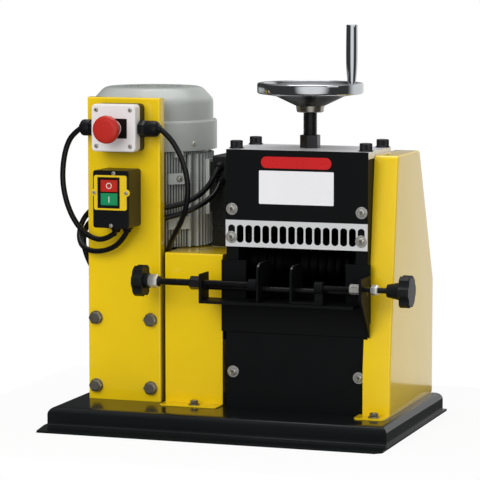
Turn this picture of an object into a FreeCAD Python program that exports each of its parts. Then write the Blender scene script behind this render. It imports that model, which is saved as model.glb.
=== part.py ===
"""Bench wire stripping machine: a motor-driven head with slitting blades over grooved feed rollers.

X runs to the right, Y to the back and Z up. The origin is the centre of the base, on the bench.
All sizes are millimetres.
"""
import FreeCAD, Part
import math
import os

V = FreeCAD.Vector

# ---------------------------------------------------------------- driving sizes
FLAT_GAP = 0.5          # between sheet pieces that pass each other
SLIDE_GAP = 0.1         # between a sliding block and its window
RUNNING_GAP = 0.05      # radial, shaft in bush
THREAD_GAP = 0.3        # radial, screw in its nut
HOLE_GAP = 0.4          # radial, bolt in its hole

# base tray
BASE_LENGTH = 506.0
BASE_WIDTH = 312.0
BASE_TOP = 29.0
BASE_SHEET = 3.0
BASE_ROUND = 11.0
LIP_SIDE = 5.0
LIP_FRONT = 47.0
LIP_CORNER = 8.0
FOOT_FLANGE = 33.0
BENCH_HOLE_R = 4.5
BENCH_INSET_X = 18.0
BENCH_INSET_Y = 46.0

# yellow sheet covers
COVER_SHEET = 2.0
COVER_BEND = 3.0
TOWER_LEFT = -226.0
TOWER_RIGHT = -113.0
TOWER_FRONT = -63.0
TOWER_TOP = 471.0
TOWER_FLANGE = 16.0
TOWER_BOLT_X = (-213.5, -128.5)
TOWER_BOLT_Z = (49.0, 149.0)
TOWER_BOLT_R = 5.0
TOWER_BOLT_FLATS = 17.0
TOWER_BOLT_HEAD = 6.4
TOWER_WASHER_R = 10.0
WASHER_SHEET = 1.6

COUPLING_LEFT = -106.0
COUPLING_RIGHT = -18.0
COUPLING_TOP = 248.5
COUPLING_BACK = 45.0
COUPLING_FOOT = 29.0

GEAR_COVER_LAP = 196.5
GEAR_COVER_RIGHT = 236.6
GEAR_COVER_TOP = 395.0
GEAR_COVER_FRONT = -80.0
GEAR_COVER_KNEE = 97.0
GEAR_COVER_TOP_FRONT = -43.5
GEAR_COVER_TOP_BACK = 74.0
GEAR_COVER_BACK = 156.0
GEAR_COVER_SHOULDER = 199.0
GEAR_COVER_CORNER = 8.0
GEAR_COVER_FOOT = 30.0

# head: two cheeks, a top plate and the plates on its front
HEAD_LEFT = -8.5
HEAD_RIGHT = 201.5
HEAD_FRONT = -73.0
HEAD_BACK = 47.0
HEAD_TOP = 391.0
CHEEK_SHEET = 18.0
TOP_PLATE = 10.0
FRONT_SHEET = 2.0
WINDOW_BOTTOM = 262.0
BLOCK_WIDTH = 44.0
FRONT_COVER_BOTTOM = 262.5
SLOT_PLATE_HEIGHT = 38.0
SLOT_COUNT = 16
SLOT_PITCH = 12.8
SLOT_R = 4.5
SLOT_LENGTH = 25.5
SLOT_Z = 281.0
SLOT_ROOM_BELOW = 2.0
SLOT_ROOM_ABOVE = 3.0
SCREW_HEAD_R = 6.0
SCREW_WASHER_R = 8.5
SCREW_HEAD = 3.6
SCREW_R = 3.8
SCREW_REACH = 14.0
SCREW_TAP = 16.0
UPPER_SCREW_Z = (276.0, 316.0)
LOWER_SCREW_Z = 82.0
LOWER_SCREW_X = (2.3, 189.5)
LOWER_PANEL_TOP = 139.5
CAP_SCREW_Y = (-55.0, 32.0)
CAP_HEAD_R = 9.0
CAP_HEAD = 10.0
CAP_R = 5.0
CAP_WASHER_R = 10.5
CAP_REACH = 18.0
CAP_TAP = 20.0
CAP_SOCKET = 8.0
CAP_SOCKET_DEPTH = 5.0
OUTLET_BOTTOM = 225.0
OUTLET_TOP = 300.0
OUTLET_MARGIN = 30.0

# shafts and gears: every shaft runs along X
SHAFT_Y = -10.0
DRIVE_Z = 130.0
FEED_Z = 232.0
SHAFT_R = 12.5
BUSH_WALL = 4.0
GEAR_TEETH = 16
GEAR_MODULE = 4.0
GEAR_PRESSURE = 20.0
GEAR_ADDENDUM = 5.0
GEAR_DEDENDUM = 5.5
GEAR_THIN = 0.15
GEAR_SPREAD = 0.3
GEAR_ROOM = 4.5
GEAR_FACE = 20.0
SHAFT_END = 2.0
IDLER_JOURNAL_R = 12.0
BLADE_LIFT = 3.5
BLADE_COUNT = 14
BLADE_R = 32.0
BLADE_HUB_R = 18.0
BLADE_HALF = 2.0
BLADE_TIP_HALF = 0.15
ROLLER_R = 31.0
ROLLER_GROOVE = 3.0
ROLLER_GROOVE_HALF = 3.6
ROLLER_WIDE_INDEX = 6
ROLLER_WIDE_BOTTOM_R = 17.0
ROLLER_WIDE_HALF = 15.0
ROLLER_WIDE_FLAT = 1.0
ROLLER_RIM = 0.1
ROLLER_END_GAP = 1.0
SLEEVE_HALF = 26.0
SLEEVE_WALL = 9.0

# blade block: two bearing blocks joined by a beam
BLOCK_INSET = 2.0
BLOCK_BELOW = 24.0
BLOCK_ABOVE = 34.5
BEAM_HEIGHT = 20.0
BEAM_SOCKET = 14.0

# pressure screw and its handwheel
SCREW_X = 96.5
PRESSURE_R = 10.0
COLLAR_R = 16.0
COLLAR_HEIGHT = 6.0
END_GAP = 0.3
SCREW_BUSH_FLATS = 26.0
SCREW_BUSH_HEIGHT = 18.5
SCREW_BUSH_SPIGOT_R = 12.0
WHEEL_BOTTOM = 452.0
WHEEL_HUB_R = 19.5
WHEEL_DISH_R = 48.5
WHEEL_R = 76.0
WHEEL_RIM = 10.0
WHEEL_RIM_HEIGHT = 14.8
WHEEL_TOP = 494.3
WHEEL_BOSS_R = 14.0
WHEEL_BOSS_FOOT = 14.0
WHEEL_BOSS_FLARE = 4.0
WHEEL_BOSS_DROP = 4.0
WHEEL_WEB = 6.0
WHEEL_DISH_DROP = 3.5
WHEEL_HUB_EDGE = 1.5
WHEEL_HUB_HEIGHT = 5.0
WHEEL_RIM_EDGE = 2.5
WHEEL_SCREW_DEPTH = 30.0
GRIP_X = 65.1
GRIP_Y = -12.0
GRIP_PIN_R = 4.0
GRIP_BOTTOM_R = 6.0
GRIP_MIDDLE_R = 8.2
GRIP_TOP_R = 7.4
GRIP_BOTTOM = 495.4
GRIP_TOP = 577.5
GRIP_FOOT = 14.0
GRIP_FLARE = 0.9
GRIP_CROWN = 8.0
GRIP_CROWN_EDGE = 2.0
GRIP_PIN_DEPTH = 10.0

# cable guides in front of the head
CARRIER_LEFT = -15.0
CARRIER_RIGHT = 205.9
CARRIER_SHEET = 4.0
CARRIER_BOTTOM = 140.0
CARRIER_TOP = 243.0
CARRIER_NOTCH_TOP = 160.0
CARRIER_WINDOW = (22.0, 170.0)
EAR_FRONT = -122.0
EAR_TOP = 228.0
EAR_KNEE = 197.0
SHELF_LEFT = -35.0
SHELF_RIGHT = 193.0
SHELF_FRONT = -118.0
SHELF_TOP = 188.0
SHELF_EAR_TOP = 226.0
SHELF_EAR_BACK = -85.0
GUIDE_ROD_R = 4.0
GUIDE_ROD_Y = -92.0
GUIDE_ROD_Z = 205.0
GUIDE_SCREW_Y = -108.0
GUIDE_SCREW_Z = 212.0
LEFT_SCREW_R = 5.0
RIGHT_SCREW_R = 4.0
LEFT_NUT_FLATS = 17.0
RIGHT_NUT_FLATS = 13.0
LEFT_NUT = 15.5
RIGHT_NUT = 8.0
GUIDE_SHEET = 3.0
GUIDE_FRONT = -114.0
LEFT_GUIDE_X = 49.5
LEFT_GUIDE_BACK = -50.0
LEFT_GUIDE_TOP = 243.0
RIGHT_GUIDE_X = 98.8
RIGHT_GUIDE_BACK = -62.0
RIGHT_GUIDE_TOP = 241.0
RIGHT_GUIDE_FOOT = 147.0
GUIDE_CORNER = 14.0
GUIDE_BOSS_R = 9.0
GUIDE_BOSS = 12.0
KNOB_R = 23.0
KNOB_LOBES = 6
KNOB_THICK = 21.0
KNOB_EDGE = 3.0
KNOB_SCALLOP_R = 9.5
KNOB_SCALLOP_OUT = 5.5
KNOB_BORE = 10.0
KNOB_HUB_R = 11.0
LEFT_HUB = 5.5
LEFT_LOCK_NUT = 14.0
LEFT_COLLAR = 4.5
LEFT_COLLAR_WALL = 2.5
LEFT_KNOB_X = -140.0
RIGHT_HUB = 20.0
RIGHT_HUB_TAPER = 2.0
RIGHT_BORE = 6.0
RIGHT_LOCK_NUT = 9.5
RIGHT_LOCK_ROOM = 11.6
RIGHT_KNOB_X = 281.0

# worm reducer under the motor
STAND_LEFT = -204.0
STAND_RIGHT = -130.0
STAND_WEB = 6.0
STAND_BACK = 100.0
STAND_TOP = 170.0
STAND_FLANGE = 20.0
HOUSING_HALF = 30.0
HOUSING_FOOT = 12.0
HOUSING_WHEEL_R = 50.0
HOUSING_WORM_HALF = 32.0
HOUSING_FLANGE_BOTTOM = 205.0
HOUSING_FLANGE_TOP = 225.0
HOUSING_WALL = 4.0
HOUSING_NECK_HALF = 30.0
HOUSING_FOOT_FRONT = 44.0
HOUSING_WHEEL_ROOM = 2.0
HOUSING_WORM_ROOM = 3.0
HOUSING_WORM_ENDS = 6.0
HOUSING_SHAFT_END = 18.0
MOTOR_X = -167.0
MOTOR_Y = 53.0
WORM_MODULE = 2.8
WORM_TEETH = 30
WORM_TALL = 2.8
WORM_DEEP = 3.4
WORM_TURNS = 5
WORM_THREAD_HALF = 2.0
WORM_THREAD_SUNK = 0.4
WORM_RUNOUT = 4.0
WORM_TAIL = 16.0
WHEEL_TOOTH_HALF = 1.5
WHEEL_FACE_HALF = 6.0

# motor
MOTOR_SHAFT_R = 12.0
MOTOR_BELL_R = 58.0
MOTOR_ROOM_BELOW = 1.5
MOTOR_BODY_TOP = 389.0
MOTOR_CORE_R = 82.0
MOTOR_FIN_R = 90.0
MOTOR_FIN_PITCH = 5.0
MOTOR_FIN_GAPS = (2.5, 7.5, 17.5)
MOTOR_FIN_SHEET = 2.0
MOTOR_FIN_TAPER = 0.6
MOTOR_FIN_SUNK = 2.0
MOTOR_FIN_TOP_GAP = 3.0
MOTOR_END_WALL = 12.0
MOTOR_PAD_ANGLE = -45.0
MOTOR_PAD_HALF = 17.5
MOTOR_PAD_SUNK = 6.0
MOTOR_PAD_PROUD = 1.0
MOTOR_PADS = ((277.0, 295.0), (343.0, 359.0))
STATOR_R = 46.0
ROTOR_GAP = 0.4
ROTOR_END_GAP = 8.0
COWL_SKIRT_R = 98.0
COWL_WALL_R = 92.0
COWL_FLAT_R = 60.0
COWL_SHEET = 2.5
COWL_GAP = 2.0
COWL_STEP_WIDTH = 2.0
COWL_STEP = 434.6
COWL_SHOULDER = 466.0
COWL_TOP = 482.5
COWL_RINGS = 3
COWL_RING_SHARE = 0.55
COWL_SECTORS = 6
COWL_RIB_HALF = 3.0
COWL_LUG_HALF = 7.0
COWL_LUG_SUNK = 1.5
COWL_LUG_BELOW = 9.0
COWL_LUG_ABOVE = 12.0
FAN_R = 76.0
FAN_BLADES = 7
FAN_BLADE_HALF = 1.25
FAN_ROOM_BELOW = 11.0
FAN_HEIGHT = 26.0
FAN_DISC = 3.0
FAN_DISC_SHARE = 0.8
FAN_HUB_WALL = 8.0
TERMINAL_LEFT = -66.0
TERMINAL_RIGHT = -14.0
TERMINAL_FRONT = 30.0
TERMINAL_BACK = 115.0
TERMINAL_BOTTOM = 251.0
TERMINAL_TOP = 383.0
TERMINAL_CORNER = 4.0
TERMINAL_PAD_BOTTOM = 296.0
TERMINAL_PAD_INSET = 6.0
TERMINAL_PAD_PROUD = 4.0
TERMINAL_NECK_INSET = 4.0

# controls on the tower
ESTOP_LEFT = -205.0
ESTOP_SIDE = 68.0
ESTOP_BOTTOM = 395.0
ESTOP_SPLIT = -81.0
ESTOP_FRONT = -100.0
ESTOP_CORNER = 6.0
ESTOP_EDGE = 2.5
ESTOP_BACK_WALL = 3.0
MUSHROOM_R = 20.0
MUSHROOM_FACE = -135.0
MUSHROOM_THICK = 13.0
MUSHROOM_EDGE = 1.5
MUSHROOM_FLARE = 4.0
MUSHROOM_STEM_R = 10.0
MUSHROOM_STEM_ROOM = 3.0
MUSHROOM_STEM_END = 6.0
MUSHROOM_Z = 428.5
SWITCH_LEFT = -198.0
SWITCH_RIGHT = -143.0
SWITCH_BOTTOM = 286.0
SWITCH_TOP = 369.0
SWITCH_FRONT = -112.0
SWITCH_CORNER = 4.0
BUTTON_X = -173.0
BUTTON_WIDTH = 27.0
BUTTON_HEIGHT = 18.0
BUTTON_SPLIT_Z = 337.2
BUTTON_GAP = 1.6
BUTTON_RIM = 3.0
BUTTON_RECESS = 2.5
BUTTON_DEPTH = 14.0
BUTTON_EDGE = 1.2
BUTTON_TRAVEL = 3.0
BUTTON_FLOOR = 1.0
FACEPLATE_SIDE = 50.0
FACEPLATE_EAR = 4.0
FACEPLATE_SHEET = 2.0
FACEPLATE_CORNER = 3.0

# cables, all of one size, and their glands
CABLE_R = 4.0
GLAND_R = 12.5
GLAND_NUT_R = 9.5
GLAND_Z = 428.0
GLAND_Y = -83.0
GLAND_LEFT_TIP = -229.0
GLAND_RIGHT_TIP = -104.0
GLAND_NUT_LESS = 1.5
GROMMET_R = 8.5
GROMMET_LIP = 1.5
GROMMET_PROUD = 8.0
SWITCH_GROMMETS = ((-172.0, -88.0), (-157.0, -82.0))
TERMINAL_GROMMETS = ((-56.0, 366.0), (-54.0, 345.0))
BASE_GROMMETS = ((-118.0, -36.0), (-216.0, -31.0))

# the points that each cable passes near, in order
CABLE_ROUTES = {
    "cable_estop_switch": [
        (-226, -83, 428), (-241, -83, 418), (-251, -83, 399), (-256, -83, 375), (-257, -83, 349),
        (-252, -84, 323), (-242, -85, 299), (-228, -86, 280), (-210, -87, 268), (-189, -88, 266),
        (-173, -88, 277),
    ],
    "cable_switch_motor": [
        (-156, -82, 281), (-165, -81, 266), (-180, -80, 254), (-199, -79, 248), (-219, -75, 248),
        (-236, -64, 254), (-247, -47, 267), (-246, -36, 288), (-230, -37, 306), (-207, -43, 315),
        (-180, -49, 316), (-151, -49, 313), (-124, -42, 310), (-101, -32, 313), (-81, -18, 321),
        (-66, -2, 334), (-58, 11, 351), (-56, 26, 366),
    ],
    "cable_estop_base": [
        (-108, -83, 430), (-93, -83, 419), (-79, -82, 399), (-69, -81, 375), (-64, -80, 348),
        (-67, -77, 321), (-77, -71, 296), (-92, -61, 275), (-105, -49, 256), (-113, -40, 234),
        (-116, -36, 208), (-118, -35, 178), (-116, -34, 137), (-118, -36, 85), (-118, -36, 33),
    ],
    "cable_motor_base": [
        (-54, 26, 345), (-53, 9, 331), (-63, -8, 318), (-80, -22, 307), (-101, -33, 299),
        (-124, -42, 294), (-150, -49, 292), (-178, -50, 294), (-205, -44, 296), (-228, -36, 291),
        (-244, -27, 278), (-250, -24, 256), (-243, -27, 234), (-229, -32, 213), (-220, -34, 184),
        (-217, -33, 146), (-216, -32, 92), (-216, -31, 38),
    ],
}

# ---------------------------------------------------------------- places worked out from the sizes
GEAR_PITCH_R = GEAR_MODULE * GEAR_TEETH / 2
GEAR_OUTER_R = GEAR_PITCH_R + GEAR_ADDENDUM
GEAR_ROOT_R = GEAR_PITCH_R - GEAR_DEDENDUM
GEAR_LEFT = HEAD_RIGHT + GEAR_ROOM
GEAR_DISTANCE = 2 * GEAR_PITCH_R + GEAR_SPREAD
IDLER_Z = (DRIVE_Z + FEED_Z) / 2
IDLER_Y = SHAFT_Y + math.sqrt(GEAR_DISTANCE ** 2 - (FEED_Z - IDLER_Z) ** 2)
BLADE_Z = FEED_Z + GEAR_DISTANCE + BLADE_LIFT
GEAR_RIGHT = GEAR_LEFT + GEAR_FACE
SHAFT_RIGHT = GEAR_RIGHT + SHAFT_END
PLATE_FRONT = HEAD_FRONT - FRONT_SHEET
CHEEK_LEFT_INNER = HEAD_LEFT + CHEEK_SHEET
CHEEK_RIGHT_INNER = HEAD_RIGHT - CHEEK_SHEET
CHEEK_MIDDLES = (HEAD_LEFT + CHEEK_SHEET / 2, HEAD_RIGHT - CHEEK_SHEET / 2)
FIRST_SLOT_X = CHEEK_MIDDLES[0]
BEAM_BOTTOM = BLADE_Z + BLOCK_ABOVE
BEAM_TOP = BEAM_BOTTOM + BEAM_HEIGHT
HEAD_LID = HEAD_TOP + TOP_PLATE
MOTOR_AXIS = V(MOTOR_X, MOTOR_Y, 0)
MOTOR_BODY_BOTTOM = COUPLING_TOP + MOTOR_ROOM_BELOW
STATOR_BOTTOM = MOTOR_BODY_BOTTOM + MOTOR_END_WALL
STATOR_TOP = MOTOR_BODY_TOP - MOTOR_END_WALL
COWL_BOTTOM = MOTOR_BODY_TOP + COWL_GAP
COWL_LUG_BOTTOM = COWL_BOTTOM - COWL_LUG_BELOW
COWL_LUG_TOP = COWL_BOTTOM + COWL_LUG_ABOVE
FAN_BOTTOM = COWL_BOTTOM + FAN_ROOM_BELOW
FAN_TOP = FAN_BOTTOM + FAN_HEIGHT
WORM_LEAD = math.pi * WORM_MODULE
GEARBOX_WHEEL_R = WORM_MODULE * WORM_TEETH / 2
WORM_PITCH_R = MOTOR_Y - SHAFT_Y - GEARBOX_WHEEL_R
TERMINAL_PAD_LEFT = MOTOR_X + MOTOR_CORE_R * 0.9
TERMINAL_PAD_RIGHT = MOTOR_X + MOTOR_FIN_R + TERMINAL_PAD_PROUD
ESTOP_X = ESTOP_LEFT + ESTOP_SIDE / 2
ESTOP_RIGHT = ESTOP_LEFT + ESTOP_SIDE
AXES = {"x": V(1, 0, 0), "y": V(0, 1, 0), "z": V(0, 0, 1)}


# ---------------------------------------------------------------- shapes used by many pieces
def block(x, y, z):
    """A box from three (low, high) pairs."""
    return Part.makeBox(x[1] - x[0], y[1] - y[0], z[1] - z[0], V(x[0], y[0], z[0]))


def place(axis, along, first, second):
    """A point: `along` the axis, then its other two coordinates in x, y, z order."""
    if axis == "x":
        return V(along, first, second)
    if axis == "y":
        return V(first, along, second)
    return V(first, second, along)


def rod(axis, centre, span, radius):
    """A cylinder on an axis through `centre`, over `span` along it."""
    start = place(axis, span[0], *centre)
    return Part.makeCylinder(radius, span[1] - span[0], start, AXES[axis])


def tube(axis, centre, span, outer, inner):
    """A ring or a bush."""
    return rod(axis, centre, span, outer).cut(rod(axis, centre, span, inner))


def prism(axis, outline, span):
    """A polygon, given in the two other coordinates, extruded over `span` along the axis."""
    points = [place(axis, span[0], a, b) for a, b in outline]
    face = Part.Face(Part.makePolygon(points + points[:1]))
    return face.extrude(AXES[axis] * (span[1] - span[0]))


def hexagon(axis, centre, span, flats):
    """A hexagonal prism of the given size across flats."""
    radius = flats / math.sqrt(3)
    outline = []
    for step in range(6):
        angle = math.radians(60 * step + 30)
        outline.append((centre[0] + radius * math.cos(angle), centre[1] + radius * math.sin(angle)))
    return prism(axis, outline, span)


def turned(axis, centre, profile):
    """A solid of revolution from (radius, along) points."""
    side = AXES["y"] if axis == "x" else AXES["x"]
    base = place(axis, 0.0, *centre)
    points = [base + side * radius + AXES[axis] * along for radius, along in profile]
    face = Part.Face(Part.makePolygon(points + points[:1]))
    solid = face.revolve(base, AXES[axis], 360)
    return solid if solid.Volume > 0 else solid.reversed()


def rounded(shape, radius, chosen):
    """Round the edges for which `chosen` is true."""
    return shape.makeFillet(radius, [edge for edge in shape.Edges if chosen(edge)])


def along(edge, axis):
    """True for a straight edge that runs along the axis."""
    if edge.Curve.TypeId != "Part::GeomLine":
        return False
    direction = edge.Vertexes[1].Point - edge.Vertexes[0].Point
    return abs(direction.normalize().dot(AXES[axis])) > 0.999


def at_level(edge, axis, level):
    """True for an edge that lies in the plane at `level` on the axis."""
    return all(abs(vertex.Point.dot(AXES[axis]) - level) < 1e-6 for vertex in edge.Vertexes)


def joined(shapes):
    """One solid from several that touch or overlap."""
    return shapes[0].multiFuse(shapes[1:]).removeSplitter()


def save(name, shapes):
    """Write one node, which holds one solid or a group of like ones."""
    solids = []
    for shape in shapes if isinstance(shapes, list) else [shapes]:
        solids.extend(shape.Solids)
    shape = solids[0] if len(solids) == 1 else Part.makeCompound(solids)
    shape.exportStep(os.path.join("parts", name + ".step"))


# ---------------------------------------------------------------- base and yellow covers
def base_tray():
    """Pressed tray with a rounded top edge, a bench lip all round and two drilled foot flanges."""
    half_x = BASE_LENGTH / 2
    half_y = BASE_WIDTH / 2
    tray = block((-half_x, half_x), (-half_y, half_y), (0, BASE_TOP))
    tray = rounded(tray, BASE_ROUND, lambda edge: at_level(edge, "z", BASE_TOP))
    inner_x = half_x - BASE_SHEET
    inner_y = half_y - BASE_SHEET
    inner_top = BASE_TOP - BASE_SHEET
    hollow = block((-inner_x, inner_x), (-inner_y, inner_y), (-1, inner_top))
    hollow = rounded(hollow, BASE_ROUND - BASE_SHEET, lambda edge: at_level(edge, "z", inner_top))
    tray = tray.cut(hollow)
    lip_front = -half_y - LIP_FRONT
    lip = prism("z", [
        (-half_x - LIP_SIDE, -half_y), (-half_x - LIP_SIDE + LIP_CORNER, lip_front),
        (half_x - LIP_CORNER / 2, lip_front), (half_x + LIP_SIDE, lip_front + LIP_CORNER),
        (half_x + LIP_SIDE, half_y + LIP_SIDE), (-half_x - LIP_SIDE, half_y + LIP_SIDE),
    ], (0, BASE_SHEET))
    middle_x = inner_x - FOOT_FLANGE + BASE_SHEET
    lip = lip.cut(block((-middle_x, middle_x), (-inner_y, inner_y), (0, BASE_SHEET)))
    tray = joined([tray, lip])
    hole_x = half_x - BENCH_INSET_X
    hole_y = half_y - BENCH_INSET_Y
    for x in (-hole_x, hole_x):
        for y in (-hole_y, hole_y):
            tray = tray.cut(rod("z", (x, y), (0, BASE_SHEET), BENCH_HOLE_R))
    for x, y in BASE_GROMMETS:
        tray = tray.cut(rod("z", (x, y), (inner_top, BASE_TOP), GROMMET_R - GROMMET_LIP))
    return tray


def tower_panel():
    """Tall folded front panel: side flanges and a top flange turned to the back."""
    back = TOWER_FRONT + TOWER_FLANGE
    outer = block((TOWER_LEFT, TOWER_RIGHT), (TOWER_FRONT, back), (BASE_TOP, TOWER_TOP))
    outer = rounded(outer, COVER_BEND, lambda edge: at_level(edge, "y", TOWER_FRONT)
                    and not at_level(edge, "z", BASE_TOP))
    hollow = block((TOWER_LEFT + COVER_SHEET, TOWER_RIGHT - COVER_SHEET),
                   (TOWER_FRONT + COVER_SHEET, back + 1), (BASE_TOP - 1, TOWER_TOP - COVER_SHEET))
    panel = outer.cut(hollow)
    for x in TOWER_BOLT_X:
        for z in TOWER_BOLT_Z:
            panel = panel.cut(rod("y", (x, z), (TOWER_FRONT, back), TOWER_BOLT_R + HOLE_GAP))
    return panel


def tower_bolts():
    """Four hexagon bolts with washers, screwed into the stand's tapped flanges."""
    bolts = []
    face = TOWER_FRONT - WASHER_SHEET
    flange_back = TOWER_FRONT + COVER_SHEET + STAND_WEB
    for x in TOWER_BOLT_X:
        for z in TOWER_BOLT_Z:
            bolts.append(joined([
                rod("y", (x, z), (face, flange_back), TOWER_BOLT_R),
                rod("y", (x, z), (face, TOWER_FRONT), TOWER_WASHER_R),
                hexagon("y", (x, z), (face - TOWER_BOLT_HEAD, face), TOWER_BOLT_FLATS),
            ]))
    return bolts


def coupling_cover():
    """Folded cover over the shaft between the reducer and the head, with a foot at the front."""
    span = (COUPLING_LEFT, COUPLING_RIGHT)
    outer = block(span, (TOWER_FRONT, COUPLING_BACK), (BASE_TOP, COUPLING_TOP))
    outer = rounded(outer, COVER_BEND, lambda edge: along(edge, "x")
                    and at_level(edge, "z", COUPLING_TOP))
    hollow = block(span, (TOWER_FRONT + COVER_SHEET, COUPLING_BACK - COVER_SHEET),
                   (BASE_TOP - 1, COUPLING_TOP - COVER_SHEET))
    foot_z = (BASE_TOP, BASE_TOP + COVER_SHEET)
    front_foot = block(span, (TOWER_FRONT - COUPLING_FOOT, TOWER_FRONT + COVER_SHEET), foot_z)
    front_foot = rounded(front_foot, COVER_BEND * 2, lambda edge: along(edge, "z")
                         and at_level(edge, "y", TOWER_FRONT - COUPLING_FOOT))
    return joined([outer.cut(hollow), front_foot])


def gear_cover():
    """Folded and welded cover over the gears: a leaning front, a sloping back, open to the head."""
    lean = (GEAR_COVER_TOP_FRONT - GEAR_COVER_FRONT) / (GEAR_COVER_TOP - GEAR_COVER_KNEE)
    span = (HEAD_RIGHT + FLAT_GAP, GEAR_COVER_RIGHT)
    outline = [
        (GEAR_COVER_FRONT, BASE_TOP), (GEAR_COVER_FRONT, GEAR_COVER_KNEE),
        (GEAR_COVER_TOP_FRONT, GEAR_COVER_TOP), (GEAR_COVER_TOP_BACK, GEAR_COVER_TOP),
        (GEAR_COVER_BACK, GEAR_COVER_SHOULDER), (GEAR_COVER_BACK, BASE_TOP),
    ]
    outer = prism("x", outline, span)
    outer = rounded(outer, GEAR_COVER_CORNER, lambda edge: along(edge, "x")
                    and at_level(edge, "z", GEAR_COVER_TOP))
    outer = rounded(outer, COVER_BEND, lambda edge: at_level(edge, "x", GEAR_COVER_RIGHT)
                    and not at_level(edge, "z", BASE_TOP))
    skin = COVER_SHEET * math.sqrt(1 + lean ** 2)
    rear_lean = (GEAR_COVER_BACK - GEAR_COVER_TOP_BACK) / (GEAR_COVER_TOP - GEAR_COVER_SHOULDER)
    rear_skin = COVER_SHEET * math.sqrt(1 + rear_lean ** 2)
    low = BASE_TOP - 1
    inner_top = GEAR_COVER_TOP - COVER_SHEET
    inner = prism("x", [
        (GEAR_COVER_FRONT + COVER_SHEET, low), (GEAR_COVER_FRONT + COVER_SHEET, GEAR_COVER_KNEE),
        (GEAR_COVER_TOP_FRONT + skin, inner_top), (GEAR_COVER_TOP_BACK - rear_skin, inner_top),
        (GEAR_COVER_BACK - COVER_SHEET, GEAR_COVER_SHOULDER - COVER_SHEET),
        (GEAR_COVER_BACK - COVER_SHEET, low),
    ], (HEAD_RIGHT, GEAR_COVER_RIGHT - COVER_SHEET))
    inner = rounded(inner, GEAR_COVER_CORNER - COVER_SHEET,
                    lambda edge: along(edge, "x") and at_level(edge, "z", inner_top))
    cover = outer.cut(inner)
    rear_wall = prism("x", outline, (span[0], span[0] + COVER_SHEET))
    rear_wall = rear_wall.common(block((span[0], span[1]), (HEAD_BACK + COVER_SHEET * 2, GEAR_COVER_BACK),
                                       (BASE_TOP, GEAR_COVER_TOP))).common(outer)
    lap_top = CARRIER_BOTTOM - FLAT_GAP * 6
    lap_y = GEAR_COVER_FRONT + (lap_top - GEAR_COVER_KNEE) * lean
    lap = prism("x", [
        (GEAR_COVER_FRONT, BASE_TOP), (GEAR_COVER_FRONT, GEAR_COVER_KNEE), (lap_y, lap_top),
        (lap_y + COVER_SHEET, lap_top), (GEAR_COVER_FRONT + COVER_SHEET, GEAR_COVER_KNEE),
        (GEAR_COVER_FRONT + COVER_SHEET, BASE_TOP),
    ], (GEAR_COVER_LAP, span[0] + COVER_SHEET))
    foot = block((GEAR_COVER_LAP - LIP_SIDE, GEAR_COVER_RIGHT),
                 (GEAR_COVER_FRONT - GEAR_COVER_FOOT, GEAR_COVER_FRONT + COVER_SHEET),
                 (BASE_TOP, BASE_TOP + COVER_SHEET))
    foot = rounded(foot, COVER_BEND * 2, lambda edge: along(edge, "z")
                   and at_level(edge, "y", GEAR_COVER_FRONT - GEAR_COVER_FOOT))
    return joined([cover, rear_wall, lap, foot])


# ---------------------------------------------------------------- head
def shaft_holes(cheek, span, shafts):
    """Cut a seat for a bush at each shaft."""
    for y, z, radius in shafts:
        cheek = cheek.cut(rod("x", (y, z), span, radius + RUNNING_GAP + BUSH_WALL))
    return cheek


def cheek(side):
    """One thick side plate, with a window for the bearing block and tapped holes."""
    number = 0 if side == "left" else 1
    span = ((HEAD_LEFT, CHEEK_LEFT_INNER), (CHEEK_RIGHT_INNER, HEAD_RIGHT))[number]
    middle = CHEEK_MIDDLES[number]
    plate = block(span, (HEAD_FRONT, HEAD_BACK), (BASE_TOP, HEAD_TOP))
    window = (SHAFT_Y - BLOCK_WIDTH / 2, SHAFT_Y + BLOCK_WIDTH / 2)
    plate = plate.cut(block(span, window, (WINDOW_BOTTOM, HEAD_TOP)))
    shafts = [(SHAFT_Y, FEED_Z, SHAFT_R), (SHAFT_Y, DRIVE_Z, SHAFT_R)]
    if side == "right":
        shafts.append((IDLER_Y, IDLER_Z, IDLER_JOURNAL_R))
    plate = shaft_holes(plate, span, shafts)
    tapped = (HEAD_FRONT, HEAD_FRONT + SCREW_TAP)
    for z in UPPER_SCREW_Z:
        plate = plate.cut(rod("y", (middle, z), tapped, SCREW_R + HOLE_GAP))
    lower_at = (LOWER_SCREW_X[number], LOWER_SCREW_Z)
    plate = plate.cut(rod("y", lower_at, tapped, SCREW_R + HOLE_GAP))
    for y in CAP_SCREW_Y:
        plate = plate.cut(rod("z", (middle, y), (HEAD_TOP - CAP_TAP, HEAD_TOP), CAP_R + HOLE_GAP))
    return plate


def top_plate():
    """Ground steel plate that closes both windows and carries the screw bush."""
    plate = block((HEAD_LEFT, HEAD_RIGHT), (HEAD_FRONT, HEAD_BACK - COVER_SHEET), (HEAD_TOP, HEAD_LID))
    plate = plate.cut(rod("z", (SCREW_X, SHAFT_Y), (HEAD_TOP, HEAD_LID), SCREW_BUSH_SPIGOT_R))
    for x in CHEEK_MIDDLES:
        for y in CAP_SCREW_Y:
            plate = plate.cut(rod("z", (x, y), (HEAD_TOP, HEAD_LID), CAP_R + HOLE_GAP))
    return plate


def top_plate_screws():
    """Four socket cap screws with washers."""
    screws = []
    for x in CHEEK_MIDDLES:
        for y in CAP_SCREW_Y:
            seat = HEAD_LID + WASHER_SHEET
            top = seat + CAP_HEAD
            screw = joined([
                rod("z", (x, y), (HEAD_TOP - CAP_REACH, seat), CAP_R),
                rod("z", (x, y), (HEAD_LID, seat), CAP_WASHER_R),
                rod("z", (x, y), (seat, top), CAP_HEAD_R),
            ])
            socket = hexagon("z", (x, y), (top - CAP_SOCKET_DEPTH, top), CAP_SOCKET)
            screws.append(screw.cut(socket))
    return screws


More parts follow.
